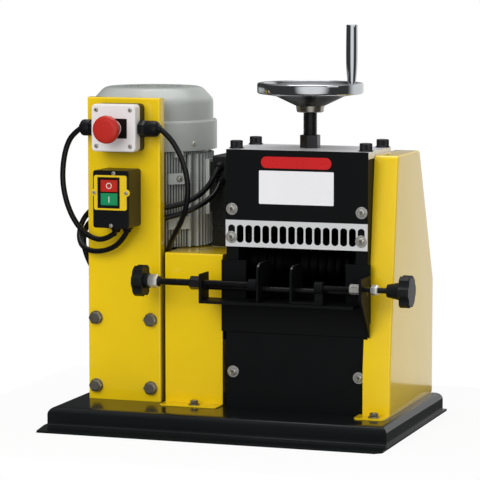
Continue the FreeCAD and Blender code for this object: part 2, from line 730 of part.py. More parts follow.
def screw_bush():
    """Hexagonal collar with a spigot in the top plate: the nut of the pressure screw."""
    centre = (SCREW_X, SHAFT_Y)
    collar_top = HEAD_LID + SCREW_BUSH_HEIGHT
    bush = joined([
        hexagon("z", centre, (HEAD_LID, collar_top), SCREW_BUSH_FLATS),
        rod("z", centre, (HEAD_TOP, HEAD_LID), SCREW_BUSH_SPIGOT_R),
    ])
    return bush.cut(rod("z", centre, (HEAD_TOP, collar_top), PRESSURE_R + THREAD_GAP))


def front_cover():
    """Thin plate over the front of the blades, with one long window behind the slots."""
    y = (PLATE_FRONT, HEAD_FRONT)
    plate = block((HEAD_LEFT, HEAD_RIGHT), y, (FRONT_COVER_BOTTOM, HEAD_LID))
    slot_low = SLOT_Z - SLOT_LENGTH / 2 - SLOT_ROOM_BELOW
    slot_high = SLOT_Z + SLOT_LENGTH / 2 + SLOT_ROOM_ABOVE
    plate = plate.cut(block((CHEEK_LEFT_INNER, CHEEK_RIGHT_INNER), y, (slot_low, slot_high)))
    for x in CHEEK_MIDDLES:
        for z in UPPER_SCREW_Z:
            plate = plate.cut(rod("y", (x, z), y, SCREW_R + HOLE_GAP))
    return plate


def slotted_plate():
    """Bright strip with a row of wire slots; the two end slots hold its screws."""
    y = (PLATE_FRONT - FRONT_SHEET, PLATE_FRONT)
    z_span = (FRONT_COVER_BOTTOM, FRONT_COVER_BOTTOM + SLOT_PLATE_HEIGHT)
    plate = block((HEAD_LEFT, HEAD_RIGHT), y, z_span)
    straight = SLOT_LENGTH / 2 - SLOT_R
    for index in range(SLOT_COUNT):
        x = FIRST_SLOT_X + index * SLOT_PITCH
        plate = plate.cut(block((x - SLOT_R, x + SLOT_R), y, (SLOT_Z - straight, SLOT_Z + straight)))
        for z in (SLOT_Z - straight, SLOT_Z + straight):
            plate = plate.cut(rod("y", (x, z), y, SLOT_R))
    return plate


def button_screw(x, z, face):
    """Domed socket screw with its washer, on a plate whose front is at `face`."""
    seat = face - WASHER_SHEET
    head = turned("y", (x, z), [
        (0, seat - SCREW_HEAD), (SCREW_HEAD_R * 0.55, seat - SCREW_HEAD),
        (SCREW_HEAD_R, seat - SCREW_HEAD * 0.35), (SCREW_HEAD_R, seat), (0, seat),
    ])
    return joined([
        head,
        rod("y", (x, z), (seat, face), SCREW_WASHER_R),
        rod("y", (x, z), (seat, HEAD_FRONT + SCREW_REACH), SCREW_R),
    ])


def front_screws():
    """Six button screws: four on the cheeks' upper fronts and two on the lower panel."""
    screws = []
    for x in CHEEK_MIDDLES:
        screws.append(button_screw(x, UPPER_SCREW_Z[0], PLATE_FRONT - FRONT_SHEET))
        screws.append(button_screw(x, UPPER_SCREW_Z[1], PLATE_FRONT))
    for x in LOWER_SCREW_X:
        screws.append(button_screw(x, LOWER_SCREW_Z, PLATE_FRONT))
    return screws


def lower_front_panel():
    """Plain plate that closes the head below the cable guides."""
    y = (PLATE_FRONT, HEAD_FRONT)
    plate = block((HEAD_LEFT, GEAR_COVER_LAP - FLAT_GAP), y, (BASE_TOP, LOWER_PANEL_TOP))
    for x in LOWER_SCREW_X:
        plate = plate.cut(rod("y", (x, LOWER_SCREW_Z), y, SCREW_R + HOLE_GAP))
    return plate


def rear_cover():
    """Back plate of the head, with the window that stripped wire comes out of."""
    y = (HEAD_BACK, HEAD_BACK + COVER_SHEET)
    plate = block((HEAD_LEFT, HEAD_RIGHT), y, (BASE_TOP, HEAD_TOP))
    outlet = (HEAD_LEFT + OUTLET_MARGIN, HEAD_RIGHT - OUTLET_MARGIN)
    return plate.cut(block(outlet, y, (OUTLET_BOTTOM, OUTLET_TOP)))


# ---------------------------------------------------------------- cable guides
def guide_carrier():
    """Thick plate across the head's front with an open-topped window and one forward ear."""
    y = (HEAD_FRONT - CARRIER_SHEET, HEAD_FRONT)
    ear = (CARRIER_RIGHT - CARRIER_SHEET, CARRIER_RIGHT)
    plate = joined([
        block((CARRIER_LEFT, ear[0]), y, (CARRIER_BOTTOM, CARRIER_TOP)),
        block(ear, y, (CARRIER_NOTCH_TOP, CARRIER_TOP)),
        prism("x", [
            (y[0] - FLAT_GAP, CARRIER_BOTTOM), (y[0] - FLAT_GAP, CARRIER_NOTCH_TOP),
            (y[0], CARRIER_NOTCH_TOP), (y[0], EAR_TOP), (EAR_FRONT, EAR_TOP), (EAR_FRONT, EAR_KNEE),
        ], ear),
    ])
    plate = plate.cut(block(CARRIER_WINDOW, y, (SHELF_TOP, CARRIER_TOP)))
    plate = plate.cut(rod("x", (GUIDE_SCREW_Y, GUIDE_SCREW_Z), ear, RIGHT_SCREW_R + HOLE_GAP))
    return plate.cut(rod("x", (GUIDE_ROD_Y, GUIDE_ROD_Z), ear, GUIDE_ROD_R))


def guide_shelf():
    """Shelf that the guides slide over, with an ear turned up at its left end."""
    ear = (SHELF_LEFT, SHELF_LEFT + CARRIER_SHEET)
    back = HEAD_FRONT - CARRIER_SHEET
    shelf = joined([
        block((SHELF_LEFT, SHELF_RIGHT), (SHELF_FRONT, back), (SHELF_TOP - CARRIER_SHEET, SHELF_TOP)),
        block(ear, (SHELF_FRONT, SHELF_EAR_BACK), (SHELF_TOP - CARRIER_SHEET, SHELF_EAR_TOP)),
    ])
    shelf = shelf.cut(rod("x", (GUIDE_SCREW_Y, GUIDE_SCREW_Z), ear, LEFT_SCREW_R + HOLE_GAP))
    return shelf.cut(rod("x", (GUIDE_ROD_Y, GUIDE_ROD_Z), ear, GUIDE_ROD_R))


def guide_rod():
    """Bright rod between the two ears that keeps the guides square."""
    return rod("x", (GUIDE_ROD_Y, GUIDE_ROD_Z), (SHELF_LEFT, CARRIER_RIGHT), GUIDE_ROD_R)


def thread_nuts():
    """Nuts fixed to the ears: one long one on the left, a locked pair on the right."""
    centre = (GUIDE_SCREW_Y, GUIDE_SCREW_Z)
    left = (SHELF_LEFT - LEFT_NUT, SHELF_LEFT)
    right = CARRIER_RIGHT - CARRIER_SHEET
    long_nut = hexagon("x", centre, left, LEFT_NUT_FLATS)
    nuts = [long_nut.cut(rod("x", centre, left, LEFT_SCREW_R + THREAD_GAP))]
    for index in range(2):
        span = (right - (index + 1) * RIGHT_NUT, right - index * RIGHT_NUT)
        nut = hexagon("x", centre, span, RIGHT_NUT_FLATS)
        nuts.append(nut.cut(rod("x", centre, span, RIGHT_SCREW_R + THREAD_GAP)))
    return nuts


def guide_blade(x, back, top):
    """Upright guide plate: its tail reaches back through the carrier's window."""
    low = SHELF_TOP + END_GAP
    plate = block((x, x + GUIDE_SHEET), (GUIDE_FRONT, back), (low, top))
    return rounded(plate, GUIDE_CORNER, lambda edge: along(edge, "x") and at_level(edge, "z", top))


def left_guide():
    """Left guide: an upright plate with a boss in which the end of its screw turns."""
    screw_at = (GUIDE_SCREW_Y, GUIDE_SCREW_Z)
    rod_at = (GUIDE_ROD_Y, GUIDE_ROD_Z)
    boss = (LEFT_GUIDE_X - GUIDE_BOSS, LEFT_GUIDE_X)
    guide = joined([
        guide_blade(LEFT_GUIDE_X, LEFT_GUIDE_BACK, LEFT_GUIDE_TOP),
        rod("x", screw_at, boss, GUIDE_BOSS_R),
    ])
    guide = guide.cut(rod("x", screw_at, boss, LEFT_SCREW_R + RUNNING_GAP))
    rod_span = (boss[0], LEFT_GUIDE_X + GUIDE_SHEET)
    return guide.cut(rod("x", rod_at, rod_span, GUIDE_ROD_R + THREAD_GAP))


def right_guide():
    """Right guide: an upright plate on a foot that reaches to the boss of its screw."""
    screw_at = (GUIDE_SCREW_Y, GUIDE_SCREW_Z)
    boss = (RIGHT_GUIDE_FOOT - GUIDE_BOSS, RIGHT_GUIDE_FOOT)
    foot_y = (GUIDE_FRONT, GUIDE_ROD_Y - GUIDE_ROD_R - FLAT_GAP)
    foot_z = (SHELF_TOP + END_GAP, SHELF_TOP + END_GAP + GUIDE_SHEET)
    wall_y = (GUIDE_SCREW_Y - RIGHT_SCREW_R, GUIDE_SCREW_Y + RIGHT_SCREW_R)
    guide = joined([
        guide_blade(RIGHT_GUIDE_X, RIGHT_GUIDE_BACK, RIGHT_GUIDE_TOP),
        block((RIGHT_GUIDE_X, RIGHT_GUIDE_FOOT), foot_y, foot_z),
        block(boss, wall_y, (foot_z[0], GUIDE_SCREW_Z)),
        rod("x", screw_at, boss, GUIDE_BOSS_R),
    ])
    bore = (boss[0] + GUIDE_SHEET, boss[1])
    guide = guide.cut(rod("x", screw_at, bore, RIGHT_SCREW_R + RUNNING_GAP))
    rod_at = (GUIDE_ROD_Y, GUIDE_ROD_Z)
    return guide.cut(rod("x", rod_at, (RIGHT_GUIDE_X, boss[1]), GUIDE_ROD_R + THREAD_GAP))


def star_knob(face, inward):
    """Lobed knob whose outer face is at `face`; `inward` is +1 or -1 along X."""
    centre = (GUIDE_SCREW_Y, GUIDE_SCREW_Z)
    inner = face + inward * KNOB_THICK
    span = tuple(sorted((face, inner)))
    disc = rod("x", centre, span, KNOB_R)
    disc = rounded(disc, KNOB_EDGE, lambda edge: at_level(edge, "x", face)
                   and edge.Curve.TypeId == "Part::GeomCircle")
    for lobe in range(KNOB_LOBES):
        angle = 2 * math.pi * (lobe + 0.5) / KNOB_LOBES
        y = centre[0] + (KNOB_R + KNOB_SCALLOP_OUT) * math.cos(angle)
        z = centre[1] + (KNOB_R + KNOB_SCALLOP_OUT) * math.sin(angle)
        disc = disc.cut(rod("x", (y, z), span, KNOB_SCALLOP_R))
    return disc, inner


def left_knob():
    """Knob and its hub, on the outer end of the left screw."""
    centre = (GUIDE_SCREW_Y, GUIDE_SCREW_Z)
    disc, inner = star_knob(LEFT_KNOB_X, 1)
    knob = joined([disc, rod("x", centre, (inner, inner + LEFT_HUB), KNOB_HUB_R)])
    return knob.cut(rod("x", centre, (inner - KNOB_BORE, inner + LEFT_HUB), LEFT_SCREW_R))


def left_screw():
    """Left guide screw with its lock nut and stop collar."""
    centre = (GUIDE_SCREW_Y, GUIDE_SCREW_Z)
    inner = LEFT_KNOB_X + KNOB_THICK
    nut = inner + LEFT_HUB
    collar = nut + LEFT_LOCK_NUT
    return joined([
        rod("x", centre, (inner - KNOB_BORE, LEFT_GUIDE_X - END_GAP), LEFT_SCREW_R),
        hexagon("x", centre, (nut, collar), LEFT_NUT_FLATS),
        rod("x", centre, (collar, collar + LEFT_COLLAR), LEFT_SCREW_R + LEFT_COLLAR_WALL),
    ])


def right_knob():
    """Knob with a long hub, on the outer end of the right screw."""
    centre = (GUIDE_SCREW_Y, GUIDE_SCREW_Z)
    disc, inner = star_knob(RIGHT_KNOB_X, -1)
    end = inner - RIGHT_HUB
    hub = turned("x", centre, [
        (0, end), (KNOB_HUB_R - RIGHT_HUB_TAPER, end), (KNOB_HUB_R + RIGHT_HUB_TAPER, inner), (0, inner),
    ])
    return joined([disc, hub]).cut(rod("x", centre, (end, inner + RIGHT_BORE), RIGHT_SCREW_R))


def right_screw():
    """Right guide screw with its lock nut outside the ear."""
    centre = (GUIDE_SCREW_Y, GUIDE_SCREW_Z)
    inner = RIGHT_KNOB_X - KNOB_THICK
    start = RIGHT_GUIDE_FOOT - GUIDE_BOSS + GUIDE_SHEET + END_GAP
    nut = CARRIER_RIGHT + RIGHT_LOCK_ROOM
    return joined([
        rod("x", centre, (start, inner + RIGHT_BORE), RIGHT_SCREW_R),
        hexagon("x", centre, (nut, nut + RIGHT_LOCK_NUT), RIGHT_NUT_FLATS),
    ])


# ---------------------------------------------------------------- gears, rollers and blades
def polar(axis_y, axis_z, radius, angle, x):
    """A point at `angle` about +X, counted from +Y."""
    return V(x, axis_y + radius * math.cos(angle), axis_z + radius * math.sin(angle))


def spur_gear(y, z, phase):
    """Spur gear with involute flanks: one tooth is centred at `phase` about +X."""
    pressure = math.radians(GEAR_PRESSURE)
    base_r = GEAR_PITCH_R * math.cos(pressure)

    def involute(radius):
        angle = math.acos(base_r / radius)
        return math.tan(angle) - angle

    half_at_pitch = math.pi / (2 * GEAR_TEETH) - GEAR_THIN / GEAR_PITCH_R
    radii = (base_r, (base_r + GEAR_OUTER_R) / 2, GEAR_OUTER_R)
    halves = [half_at_pitch + involute(GEAR_PITCH_R) - involute(radius) for radius in radii]
    edges = []
    pitch_angle = 2 * math.pi / GEAR_TEETH
    for tooth in range(GEAR_TEETH):
        middle = phase + tooth * pitch_angle
        rising = [polar(y, z, r, middle - h, GEAR_LEFT) for r, h in zip(radii, halves)]
        falling = [polar(y, z, r, middle + h, GEAR_LEFT) for r, h in zip(radii, halves)]
        root_in = polar(y, z, GEAR_ROOT_R, middle - halves[0], GEAR_LEFT)
        root_out = polar(y, z, GEAR_ROOT_R, middle + halves[0], GEAR_LEFT)
        next_root = polar(y, z, GEAR_ROOT_R, middle + pitch_angle - halves[0], GEAR_LEFT)
        edges.append(Part.LineSegment(root_in, rising[0]).toShape())
        edges.append(Part.Arc(rising[0], rising[1], rising[2]).toShape())
        edges.append(Part.LineSegment(rising[2], falling[2]).toShape())
        edges.append(Part.Arc(falling[2], falling[1], falling[0]).toShape())
        edges.append(Part.LineSegment(falling[0], root_out).toShape())
        edges.append(Part.LineSegment(root_out, next_root).toShape())
    face = Part.Face(Part.Wire(edges))
    return face.extrude(V(GEAR_FACE, 0, 0))


def gear_phases():
    """Tooth phase of each gear, so that all four pairs are in mesh at rest."""
    half_pitch = math.pi / GEAR_TEETH
    drive = 0.0
    to_idler = math.atan2(IDLER_Z - DRIVE_Z, IDLER_Y - SHAFT_Y)
    idler = 2 * to_idler + math.pi - drive + half_pitch
    to_feed = math.atan2(FEED_Z - IDLER_Z, SHAFT_Y - IDLER_Y)
    feed = 2 * to_feed + math.pi - idler + half_pitch
    blade = 2 * (math.pi / 2) + math.pi - feed + half_pitch
    return {"drive": drive, "idler": idler, "feed": feed, "blade": blade}


def keyed_gear(y, z, phase):
    """Gear bored for its shaft."""
    gear = spur_gear(y, z, phase)
    return gear.cut(rod("x", (y, z), (GEAR_LEFT, GEAR_RIGHT), SHAFT_R))


def idler_gear(phase):
    """Idler gear with its own journal, which turns in a bush in the right cheek."""
    journal = rod("x", (IDLER_Y, IDLER_Z), (CHEEK_RIGHT_INNER, GEAR_LEFT), IDLER_JOURNAL_R)
    return joined([spur_gear(IDLER_Y, IDLER_Z, phase), journal])


def slitting_blades():
    """Stack of bevelled disc blades with spacer rings between them, bored for the blade shaft."""
    left = CHEEK_LEFT_INNER + ROLLER_END_GAP
    right = CHEEK_RIGHT_INNER - ROLLER_END_GAP
    profile = [(SHAFT_R, left), (BLADE_HUB_R, left)]
    for index in range(1, BLADE_COUNT + 1):
        x = FIRST_SLOT_X + index * SLOT_PITCH
        profile.append((BLADE_HUB_R, x - BLADE_HALF))
        profile.append((BLADE_R, x - BLADE_TIP_HALF))
        profile.append((BLADE_R, x + BLADE_TIP_HALF))
        profile.append((BLADE_HUB_R, x + BLADE_HALF))
    profile.extend([(BLADE_HUB_R, right), (SHAFT_R, right)])
    return turned("x", (SHAFT_Y, BLADE_Z), profile)


def feed_rollers():
    """Grooved feed roller: one narrow groove under each blade and a deep one for thick cable."""
    left = CHEEK_LEFT_INNER + ROLLER_END_GAP
    right = CHEEK_RIGHT_INNER - ROLLER_END_GAP
    wide_x = FIRST_SLOT_X + ROLLER_WIDE_INDEX * SLOT_PITCH
    profile = [(SHAFT_R, left), (ROLLER_R, left)]
    for index in range(1, BLADE_COUNT + 1):
        x = FIRST_SLOT_X + index * SLOT_PITCH
        if index == ROLLER_WIDE_INDEX:
            profile.append((ROLLER_R, x - ROLLER_WIDE_HALF))
            profile.append((ROLLER_WIDE_BOTTOM_R, x - ROLLER_WIDE_FLAT))
            profile.append((ROLLER_WIDE_BOTTOM_R, x + ROLLER_WIDE_FLAT))
            profile.append((ROLLER_R, x + ROLLER_WIDE_HALF))
        elif abs(x - wide_x) > ROLLER_WIDE_HALF + ROLLER_GROOVE_HALF:
            profile.append((ROLLER_R, max(x - ROLLER_GROOVE_HALF, left + ROLLER_RIM)))
            profile.append((ROLLER_R - ROLLER_GROOVE, x))
            profile.append((ROLLER_R, min(x + ROLLER_GROOVE_HALF, right - ROLLER_RIM)))
    profile.extend([(ROLLER_R, right), (SHAFT_R, right)])
    return turned("x", (SHAFT_Y, FEED_Z), profile)


def frame_bushes():
    """Bronze bushes in the cheeks and in the reducer's walls."""
    bushes = []
    for span in ((HEAD_LEFT, CHEEK_LEFT_INNER), (CHEEK_RIGHT_INNER, HEAD_RIGHT)):
        for z in (FEED_Z, DRIVE_Z):
            inner = SHAFT_R + RUNNING_GAP
            bushes.append(tube("x", (SHAFT_Y, z), span, inner + BUSH_WALL, inner))
    inner = IDLER_JOURNAL_R + RUNNING_GAP
    bushes.append(tube("x", (IDLER_Y, IDLER_Z), (CHEEK_RIGHT_INNER, HEAD_RIGHT), inner + BUSH_WALL, inner))
    return bushes


def drive_shaft():
    """Long shaft from the worm wheel to the drive gear, with the sleeve coupling between them."""
    centre = (SHAFT_Y, DRIVE_Z)
    left = MOTOR_X - HOUSING_HALF + HOUSING_WALL + ROLLER_END_GAP
    middle = (COUPLING_LEFT + COUPLING_RIGHT) / 2
    return joined([
        rod("x", centre, (left, SHAFT_RIGHT), SHAFT_R),
        rod("x", centre, (middle - SLEEVE_HALF, middle + SLEEVE_HALF), SHAFT_R + SLEEVE_WALL),
    ])


def feed_shaft():
    """Shaft of the feed roller, from its left bush to the feed gear."""
    return rod("x", (SHAFT_Y, FEED_Z), (HEAD_LEFT - SHAFT_END, SHAFT_RIGHT), SHAFT_R)


def blade_shaft():
    """Shaft of the blades, held by the two bearing blocks."""
    return rod("x", (SHAFT_Y, BLADE_Z), (HEAD_LEFT + BLOCK_INSET, SHAFT_RIGHT), SHAFT_R)


def blade_block():
    """Two bearing blocks that slide in the cheeks' windows, and the beam that joins them."""
    width = (SHAFT_Y - BLOCK_WIDTH / 2 + SLIDE_GAP, SHAFT_Y + BLOCK_WIDTH / 2 - SLIDE_GAP)
    left = (HEAD_LEFT + BLOCK_INSET, CHEEK_LEFT_INNER - BLOCK_INSET)
    right = (CHEEK_RIGHT_INNER + BLOCK_INSET, HEAD_RIGHT - BLOCK_INSET)
    height = (BLADE_Z - BLOCK_BELOW, BEAM_BOTTOM)
    body = joined([
        block(left, width, height),
        block(right, width, height),
        block((left[0], right[1]), width, (BEAM_BOTTOM, BEAM_TOP)),
    ])
    for span in (left, right):
        body = body.cut(rod("x", (SHAFT_Y, BLADE_Z), span, SHAFT_R + RUNNING_GAP))
    socket = (BEAM_TOP - BEAM_SOCKET, BEAM_TOP)
    return body.cut(rod("z", (SCREW_X, SHAFT_Y), socket, PRESSURE_R + RUNNING_GAP))


# ---------------------------------------------------------------- pressure screw
def pressure_screw():
    """Screw that lowers the blade block; its end turns in the beam under a collar."""
    centre = (SCREW_X, SHAFT_Y)
    collar = BEAM_TOP + END_GAP
    bottom = BEAM_TOP - BEAM_SOCKET + END_GAP
    return joined([
        rod("z", centre, (bottom, WHEEL_BOTTOM + WHEEL_SCREW_DEPTH), PRESSURE_R),
        rod("z", centre, (collar, collar + COLLAR_HEIGHT), COLLAR_R),
    ])


def handwheel():
    """Dished handwheel with a thick rim, a boss and a pin for its grip."""
    rim_bottom = WHEEL_TOP - WHEEL_RIM_HEIGHT
    dish_z = rim_bottom - WHEEL_DISH_DROP
    rim_inner = WHEEL_R - WHEEL_RIM
    boss_foot = WHEEL_BOTTOM + WHEEL_BOSS_FOOT
    boss_top = WHEEL_TOP - WHEEL_BOSS_DROP
    edge = WHEEL_RIM_EDGE
    wheel = turned("z", (SCREW_X, SHAFT_Y), [
        (PRESSURE_R, WHEEL_BOTTOM), (WHEEL_HUB_R - WHEEL_HUB_EDGE, WHEEL_BOTTOM),
        (WHEEL_HUB_R, WHEEL_BOTTOM + WHEEL_HUB_EDGE), (WHEEL_HUB_R, WHEEL_BOTTOM + WHEEL_HUB_HEIGHT),
        (WHEEL_DISH_R, dish_z), (WHEEL_R - 2 * edge, rim_bottom),
        (WHEEL_R - edge / 3, rim_bottom + edge / 2), (WHEEL_R, rim_bottom + edge),
        (WHEEL_R, WHEEL_TOP - edge), (WHEEL_R - edge, WHEEL_TOP), (rim_inner, WHEEL_TOP),
        (rim_inner - edge, WHEEL_TOP - edge), (WHEEL_DISH_R, dish_z + WHEEL_WEB + edge),
        (WHEEL_BOSS_R + WHEEL_BOSS_FLARE, boss_foot), (WHEEL_BOSS_R, boss_foot + WHEEL_BOSS_FLARE),
        (WHEEL_BOSS_R, boss_top - WHEEL_HUB_EDGE), (WHEEL_BOSS_R - WHEEL_HUB_EDGE, boss_top),
        (PRESSURE_R, boss_top),
    ])
    pin_at = (SCREW_X + GRIP_X, SHAFT_Y + GRIP_Y)
    pin = rod("z", pin_at, (WHEEL_TOP - GRIP_PIN_DEPTH, GRIP_TOP - GRIP_CROWN), GRIP_PIN_R)
    return joined([wheel, pin])


def crank_grip():
    """Waisted grip that spins on the handwheel's pin."""
    bore_r = GRIP_PIN_R + RUNNING_GAP
    belly = (GRIP_BOTTOM + GRIP_TOP) / 2
    crown = GRIP_TOP - GRIP_CROWN
    edge = GRIP_CROWN_EDGE
    return turned("z", (SCREW_X + GRIP_X, SHAFT_Y + GRIP_Y), [
        (bore_r, GRIP_BOTTOM), (GRIP_BOTTOM_R, GRIP_BOTTOM),
        (GRIP_BOTTOM_R + GRIP_FLARE, GRIP_BOTTOM + GRIP_FOOT), (GRIP_MIDDLE_R, belly - GRIP_CROWN),
        (GRIP_MIDDLE_R, belly + GRIP_CROWN), (GRIP_TOP_R, crown), (GRIP_TOP_R, GRIP_TOP - edge),
        (GRIP_TOP_R - edge, GRIP_TOP), (0, GRIP_TOP), (0, crown + END_GAP), (bore_r, crown + END_GAP),
    ])


# ---------------------------------------------------------------- reducer and motor
def reducer_stand():
    """Welded stand: a foot plate, two webs and the flanges that the tower is bolted to."""
    front = TOWER_FRONT + COVER_SHEET
    height = (BASE_TOP + STAND_WEB, STAND_TOP)
    left_web = (STAND_LEFT, STAND_LEFT + STAND_WEB)
    right_web = (STAND_RIGHT - STAND_WEB, STAND_RIGHT)
    shape = joined([
        block((STAND_LEFT, STAND_RIGHT), (front, STAND_BACK), (BASE_TOP, height[0])),
        block(left_web, (front, STAND_BACK), height),
        block(right_web, (front, STAND_BACK), height),
        block((left_web[1] - STAND_FLANGE, left_web[1]), (front, front + STAND_WEB), height),
        block((right_web[0], right_web[0] + STAND_FLANGE), (front, front + STAND_WEB), height),
    ])
    for x in TOWER_BOLT_X:
        for z in TOWER_BOLT_Z:
            shape = shape.cut(rod("y", (x, z), (front, front + STAND_WEB), TOWER_BOLT_R + HOLE_GAP))
    return shape.cut(rod("x", (SHAFT_Y, DRIVE_Z), right_web, SHAFT_R + BUSH_WALL))


def reducer_housing():
    """Worm gearbox casting: a drum round the wheel, a block round the worm, a foot and a flange."""
    span = (MOTOR_X - HOUSING_HALF, MOTOR_X + HOUSING_HALF)
    wheel_at = (SHAFT_Y, DRIVE_Z)
    motor_at = (MOTOR_X, MOTOR_Y)
    foot_z = (BASE_TOP + STAND_WEB, BASE_TOP + STAND_WEB + HOUSING_FOOT)
    worm_y = (MOTOR_Y - HOUSING_WORM_HALF, MOTOR_Y + HOUSING_WORM_HALF)
    body = joined([
        rod("x", wheel_at, span, HOUSING_WHEEL_R),
        block(span, worm_y, (foot_z[1], HOUSING_FLANGE_BOTTOM)),
        block(span, (SHAFT_Y - HOUSING_NECK_HALF, SHAFT_Y + HOUSING_NECK_HALF), (foot_z[1], DRIVE_Z)),
        block(span, (SHAFT_Y - HOUSING_FOOT_FRONT, worm_y[1]), foot_z),
        rod("z", motor_at, (HOUSING_FLANGE_BOTTOM, HOUSING_FLANGE_TOP), MOTOR_BELL_R),
    ])
    worm_outer = WORM_PITCH_R + WORM_TALL
    wheel_outer = GEARBOX_WHEEL_R + WORM_TALL
    inner = (span[0] + HOUSING_WALL, span[1] - HOUSING_WALL)
    worm_half = WORM_LEAD * WORM_TURNS / 2
    worm_room = worm_half + HOUSING_WORM_ENDS
    cavity = joined([
        rod("x", wheel_at, inner, wheel_outer + HOUSING_WHEEL_ROOM),
        rod("z", motor_at, (DRIVE_Z - worm_room, DRIVE_Z + worm_room), worm_outer + HOUSING_WORM_ROOM),
    ])
    body = body.cut(cavity)
    body = body.cut(rod("x", wheel_at, (inner[0], span[1]), SHAFT_R + RUNNING_GAP))
    bore = (DRIVE_Z - worm_half - HOUSING_SHAFT_END, HOUSING_FLANGE_TOP)
    return body.cut(rod("z", motor_at, bore, MOTOR_SHAFT_R + RUNNING_GAP))


def worm_wheel():
    """Bronze wheel of the worm drive: one tooth is centred on +Y at rest."""
    outer = GEARBOX_WHEEL_R + WORM_TALL
    root = GEARBOX_WHEEL_R - WORM_DEEP
    slope = math.tan(math.radians(GEAR_PRESSURE))
    tip_half = (WHEEL_TOOTH_HALF - WORM_TALL * slope) / outer
    root_half = (WHEEL_TOOTH_HALF + WORM_DEEP * slope) / root
    points = []
    start = MOTOR_X - WHEEL_FACE_HALF
    for tooth in range(WORM_TEETH):
        middle = 2 * math.pi * tooth / WORM_TEETH
        flank = ((root, -root_half), (outer, -tip_half), (outer, tip_half), (root, root_half))
        for radius, angle in flank:
            points.append(polar(SHAFT_Y, DRIVE_Z, radius, middle + angle, start))
    face = Part.Face(Part.makePolygon(points + points[:1]))
    wheel = face.extrude(V(2 * WHEEL_FACE_HALF, 0, 0))
    return wheel.cut(rod("x", (SHAFT_Y, DRIVE_Z), (start, start + 2 * WHEEL_FACE_HALF), SHAFT_R))


def worm_thread():
    """Right-hand thread of the worm: a gap faces the wheel's tooth at rest."""
    slope = math.tan(math.radians(GEAR_PRESSURE))
    inner_r = WORM_PITCH_R - WORM_DEEP - WORM_THREAD_SUNK
    outer_r = WORM_PITCH_R + WORM_TALL
    inner_half = WORM_THREAD_HALF + (WORM_DEEP + WORM_THREAD_SUNK) * slope
    outer_half = WORM_THREAD_HALF - WORM_TALL * slope
    height = WORM_LEAD * (WORM_TURNS - 1)
    path = Part.makeHelix(WORM_LEAD, height, WORM_PITCH_R)
    corners = [
        V(inner_r, 0, -inner_half), V(outer_r, 0, -outer_half),
        V(outer_r, 0, outer_half), V(inner_r, 0, inner_half),
    ]
    section = Part.makePolygon(corners + corners[:1])
    thread = Part.Wire(path).makePipeShell([section], True, True)
    # the thread starts on +X; turning it to face -Y and starting half a lead below puts a gap at the wheel
    thread.rotate(V(0, 0, 0), V(0, 0, 1), -90)
    thread.translate(V(MOTOR_X, MOTOR_Y, DRIVE_Z - height / 2 + WORM_LEAD / 2))
    return thread


def motor_shaft():
    """Motor shaft with the worm at its foot and the rotor on its middle."""
    centre = (MOTOR_X, MOTOR_Y)
    worm_half = WORM_LEAD * WORM_TURNS / 2
    rotor = (STATOR_BOTTOM + ROTOR_END_GAP, STATOR_TOP - ROTOR_END_GAP)
    shaft = joined([
        rod("z", centre, (DRIVE_Z - worm_half - WORM_TAIL, FAN_TOP), MOTOR_SHAFT_R),
        rod("z", centre, (DRIVE_Z - worm_half, DRIVE_Z + worm_half + WORM_RUNOUT), WORM_PITCH_R - WORM_DEEP),
        rod("z", centre, rotor, STATOR_R - ROTOR_GAP),
    ])
    return shaft.fuse(worm_thread())


def motor_fins():
    """Ring of thin tapered fins, left out where the lugs and pads stand on each diagonal."""
    half = MOTOR_FIN_SHEET / 2
    tip = half * MOTOR_FIN_TAPER
    bottom = MOTOR_BODY_BOTTOM
    height = MOTOR_BODY_TOP - MOTOR_FIN_TOP_GAP - bottom
    section = ((MOTOR_CORE_R, -half), (MOTOR_FIN_R, -tip), (MOTOR_FIN_R, tip), (MOTOR_CORE_R, half))
    points = []
    for number in range(round(360 / MOTOR_FIN_PITCH)):
        degrees = MOTOR_FIN_PITCH * (number + 0.5)
        if abs(degrees % 90 - 45) in MOTOR_FIN_GAPS:
            continue
        angle = math.radians(degrees)
        for radius, offset in section:
            points.append(V(MOTOR_X + radius * math.cos(angle) - offset * math.sin(angle),
                            MOTOR_Y + radius * math.sin(angle) + offset * math.cos(angle), bottom))
    ring = Part.Face(Part.makePolygon(points + points[:1])).extrude(V(0, 0, height))
    return ring.cut(rod("z", (MOTOR_X, MOTOR_Y), (bottom, bottom + height), MOTOR_CORE_R - MOTOR_FIN_SUNK))


def turned_about_motor(shape, degrees):
    """A shape made on +X about the origin, moved to the motor's axis and turned about it."""
    shape.rotate(V(0, 0, 0), V(0, 0, 1), degrees)
    shape.translate(MOTOR_AXIS)
    return shape


